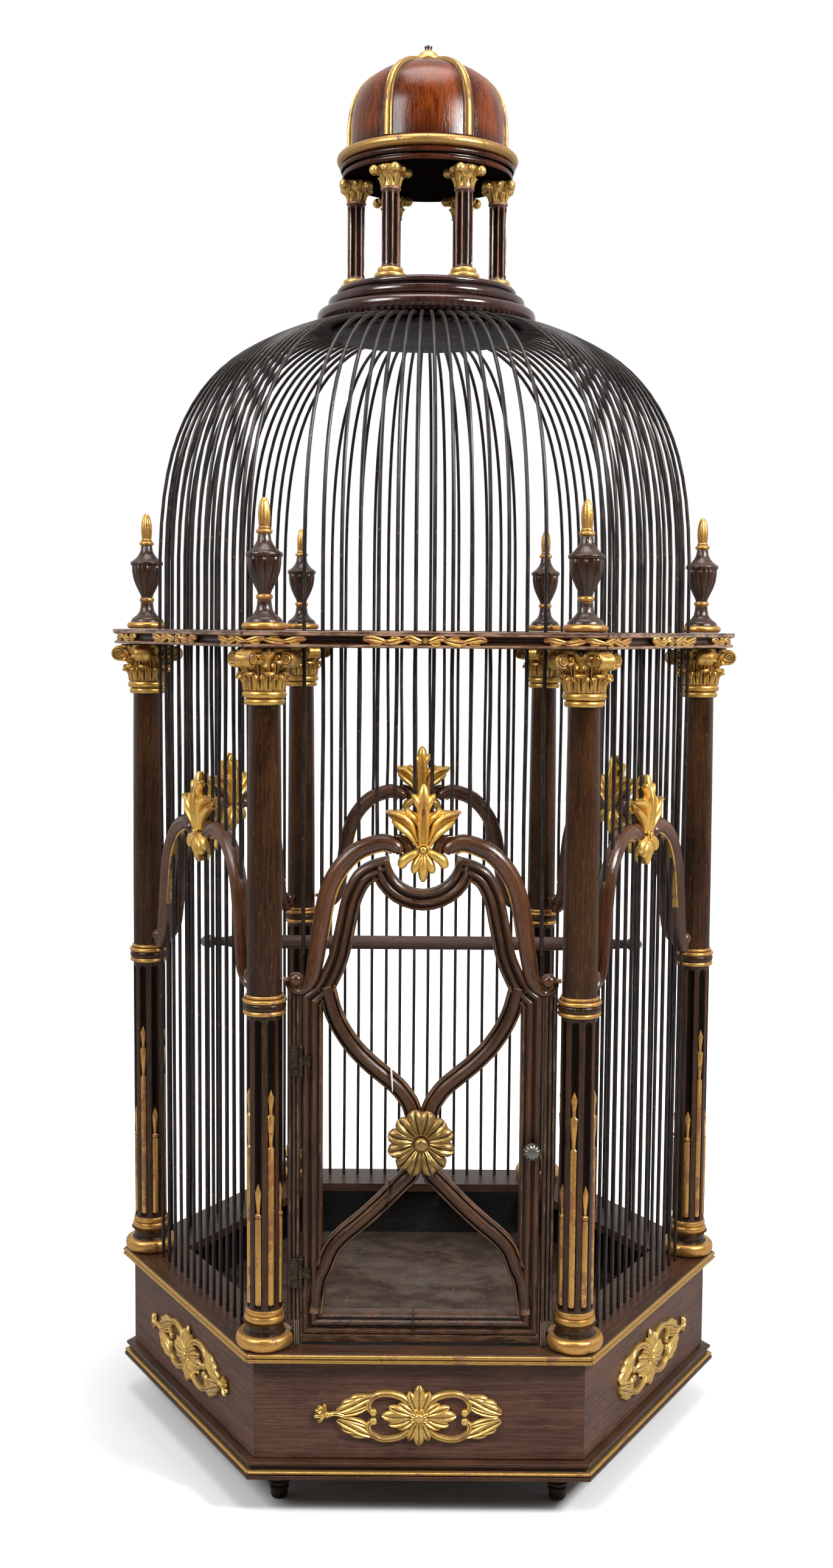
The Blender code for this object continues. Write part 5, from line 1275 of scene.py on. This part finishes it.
# The collar that gathers the dome's wires: turned mahogany in three steps, french polished, with
# a dark disc below it that clamps the hoop.
MAHOGANY = wood(
    "mahogany", (0.012, 0.0042, 0.0034), (0.052, 0.017, 0.012), (0.18, 0.08, 0.05), 0.14, 0.2,
    shine=0.7, texture=0.12, slot="mahogany"
)
COLLAR_LOW = 1.0639
form = new_form()
profile = (
    [(0.099, 0.0), (0.1003, 0.0004)] + bulge(0.101, 0.0012, 0.0128, 0.004, 8)
    + [(0.0985, 0.014), (0.095, 0.0146), (0.0936, 0.0154)] + bulge(0.0925, 0.016, 0.024, 0.002)
    + [(0.09, 0.0244), (0.0852, 0.025), (0.0836, 0.0256), (0.0838, 0.0276)]
    + bulge(0.0848, 0.028, 0.0326, 0.0014) + [(0.0842, 0.0331)]
)
turned(form, [(radius, COLLAR_LOW + height) for radius, height in profile], 112)
settle(form, "stepped_collar", MAHOGANY, "dome_collar")
form = new_form()
turned(form, [(0.089, 1.0532), (0.0908, 1.0538), (0.0914, 1.0552), (0.0908, 1.0572), (0.089, 1.0584),
              (0.08, 1.0586), (0.0798, 1.0634)], 96)
disc = wood("dusty_disc", (0.008, 0.007, 0.007), (0.022, 0.018, 0.017), (0.12, 0.11, 0.1), 0.4, shine=0.06)
settle(form, "clamping_disc", disc, "collar_disc")

# The lantern's six small columns: fluted mahogany on double gilt rings, with gilt leaf capitals
# whose four horns end in balls.
LANTERN_CIRCLE = 0.068
LANTERN_FOOT = 1.0974
LANTERN_PLACES = round_axis(LANTERN_CIRCLE, LANTERN_FOOT)
LANTERN_WOOD = wood(
    "lantern_mahogany", (0.028, 0.01, 0.007), (0.095, 0.034, 0.02), (0.42, 0.2, 0.12), 0.22, 0.9,
    wear_and_highlight_from=0.58, shine=0.5, slot="mahogany"
)
form = new_form()
shaft_steps = (0.01, 0.0124, 0.0136, 0.0158, 0.04, 0.06, 0.0744, 0.0766, 0.0782, 0.0808)
flutes = fluted(0.0122, 0.0784, 0.0024, math.radians(18.5), math.radians(22.5))
turned(form, [(0.0083, height) for height in shaft_steps], 112, flutes)
turned(form, [(0.008, 0.08)] + bulge(0.0084, 0.0802, 0.083, 0.0011) + [(0.008, 0.0834)], 32)
shafts = settle(form, "lantern_shaft_", LANTERN_WOOD, "lantern_column_", LANTERN_PLACES)
# Painted shade: the lantern columns' flutes take the same near-black brown.
for shaft, place in zip(shafts, LANTERN_PLACES.values()):
    axis = place.translation.xy
    second_finish(shaft, FLUTE_SHADE, lambda face: (
        abs(face.normal.z) < 0.7 and (face.center.xy - axis).length < 0.0075
    ))
form = new_form()
rings = [(0.012, 0.0002)] + bulge(0.013, 0.0002, 0.0052, 0.0019) + bulge(0.0104, 0.0054, 0.0102, 0.0017)
turned(form, rings, 36)
turned(form, [(0.008, 0.083), (0.0078, 0.088), (0.0096, 0.096), (0.013, 0.1012), (0.012, 0.102)], 32)
LANTERN_LEAF = [(0.008, 0.0832), (0.0086, 0.088), (0.0104, 0.0916), (0.0122, 0.0906)]
LANTERN_HORN = [(0.0085, 0.09), (0.0102, 0.096), (0.0132, 0.0996), (0.015, 0.0985)]
for index in range(LEAVES):
    turn = Matrix.Rotation((index + 0.5) * TURN / LEAVES, 3, "Z")
    rising_lobe(form, turn, LANTERN_LEAF, 0.0028, 0.0018, tip=0.5)
for index in range(4):
    turn = Matrix.Rotation((index + 0.5) * TURN / 4, 3, "Z")
    rising_lobe(form, turn, LANTERN_HORN, 0.0028, 0.0016, tip=0.6)
    ball = turn.to_4x4() @ Matrix.Translation((0.0158, 0, 0.0))
    turned(form, bulge(0.0002, 0.0928, 0.1022, 0.0045, 12), 22, place=ball)
    low_ball = Matrix.Rotation(index * TURN / 4, 4, "Z") @ Matrix.Translation((0.013, 0, 0.0))
    turned(form, bulge(0.0003, 0.0952, 0.1014, 0.0028, 8), 14, place=low_ball)
settle(form, "lantern_gilding_", GILT, places=LANTERN_PLACES)

# The cupola: a turned mahogany dome over a moulded ring with a gilt torus, six gilt ribs up the
# dome, and a small gilt finial with a bare wood tip. Painted shade darkens the dome beside the
# ribs, low on the dome and round the finial.
CUPOLA_WOOD = wood(
    "cupola_mahogany", (0.03, 0.0042, 0.001), (0.215, 0.04, 0.0044), (0.4, 0.15, 0.04), 0.22, 0.3,
    shine=0.3, texture=0.2, slot="mahogany"
)
grain = CUPOLA_WOOD.attribute("grain", 1)
height = CUPOLA_WOOD.part(grain, "X")
angle = CUPOLA_WOOD.maths("ARCTAN2", CUPOLA_WOOD.part(grain, "Z"), CUPOLA_WOOD.part(grain, "Y"))
# Painted shade beside the ribs, low on the dome and round the finial.
beside_ribs = CUPOLA_WOOD.maths("COSINE", angle * 6, 0).between(0.35, 0.92)
shaded = beside_ribs * 0.75 + (1 - height.between(1.226, 1.242)) * 0.7 + height.between(1.29, 1.308) * 0.6
shaded = CUPOLA_WOOD.maths("MINIMUM", shaded, 0.9)
CUPOLA_WOOD.paint(CUPOLA_WOOD.mix(shaded, CUPOLA_WOOD.colour, (0.018, 0.0035, 0.0016)))
form = new_form()
profile = (
    [(0.06, 1.201), (0.078, 1.2006)] + bulge(0.0796, 1.2005, 1.2062, 0.0021) + [(0.0796, 1.2068)]
    + bulge(0.0808, 1.2072, 1.2128, 0.0028) + [(0.08, 1.2134), (0.08, 1.2228)]
    + [(0.0796, 1.224), (0.077, 1.2256), (0.0745, 1.2266)]
)
turned(form, profile, 112)
dome = []
for step in range(22):
    quarter = step / 22 * TURN / 4
    dome.append((0.0738 * math.cos(quarter), 1.2262 + 0.083 * math.sin(quarter) ** (2 / 3.6)))
turned(form, dome, 112)
cupola, = settle(form, "polished_cupola", CUPOLA_WOOD, "cupola")
# Painted shade: the faces under the cupola take the near-black finish.
second_finish(cupola, DIRT_AND_SHADE, lambda face: face.normal.z < -0.9)
form = new_form()
turned(form, bead(0.079, 0.0817, 1.2132, 1.223, 0.005, 10), 112)
RIB_SECTION = mirrored([
    (1.0, 0.0), (1.0, 0.5), (0.88, 0.8), (0.66, 0.62), (0.5, 0.86), (0.22, 1.0), (0.0, 1.0),
]) + [(0.0, -0.4)]
for index in range(6):
    turn = Matrix.Rotation(index * SIXTH, 3, "Z")
    path = [turn @ Vector((radius, 0, height)) for radius, height in dome[:20]]
    sweep(form, path, RIB_SECTION, side=turn @ Vector((0, 1, 0)),
          size=lambda share: (0.0046 * (1 - 0.42 * share), 0.0034))
CUPOLA_GILT = gilding(
    "cupola_gilding", (0.5, 0.285, 0.085), (0.046, 0.021, 0.007), (0.18, 0.07, 0.03), 0.22
)
settle(form, "cupola_gilding", CUPOLA_GILT)
form = new_form()
turned(form, [(0.013, 1.3096)] + bulge(0.0126, 1.3097, 1.3146, 0.0019) + [(0.0105, 1.3152), (0.0092, 1.3168),
       (0.0082, 1.3186), (0.0052, 1.3202), (0.0034, 1.3218)], 40)
settle(form, "finial_gilding", GILT, "finial")
form = new_form()
turned(form, [(0.0032, 1.3214), (0.0032, 1.3232), (0.0038, 1.324), (0.0038, 1.3254), (0.0026, 1.3261)], 24)
settle(form, "finial_tip", MAHOGANY)
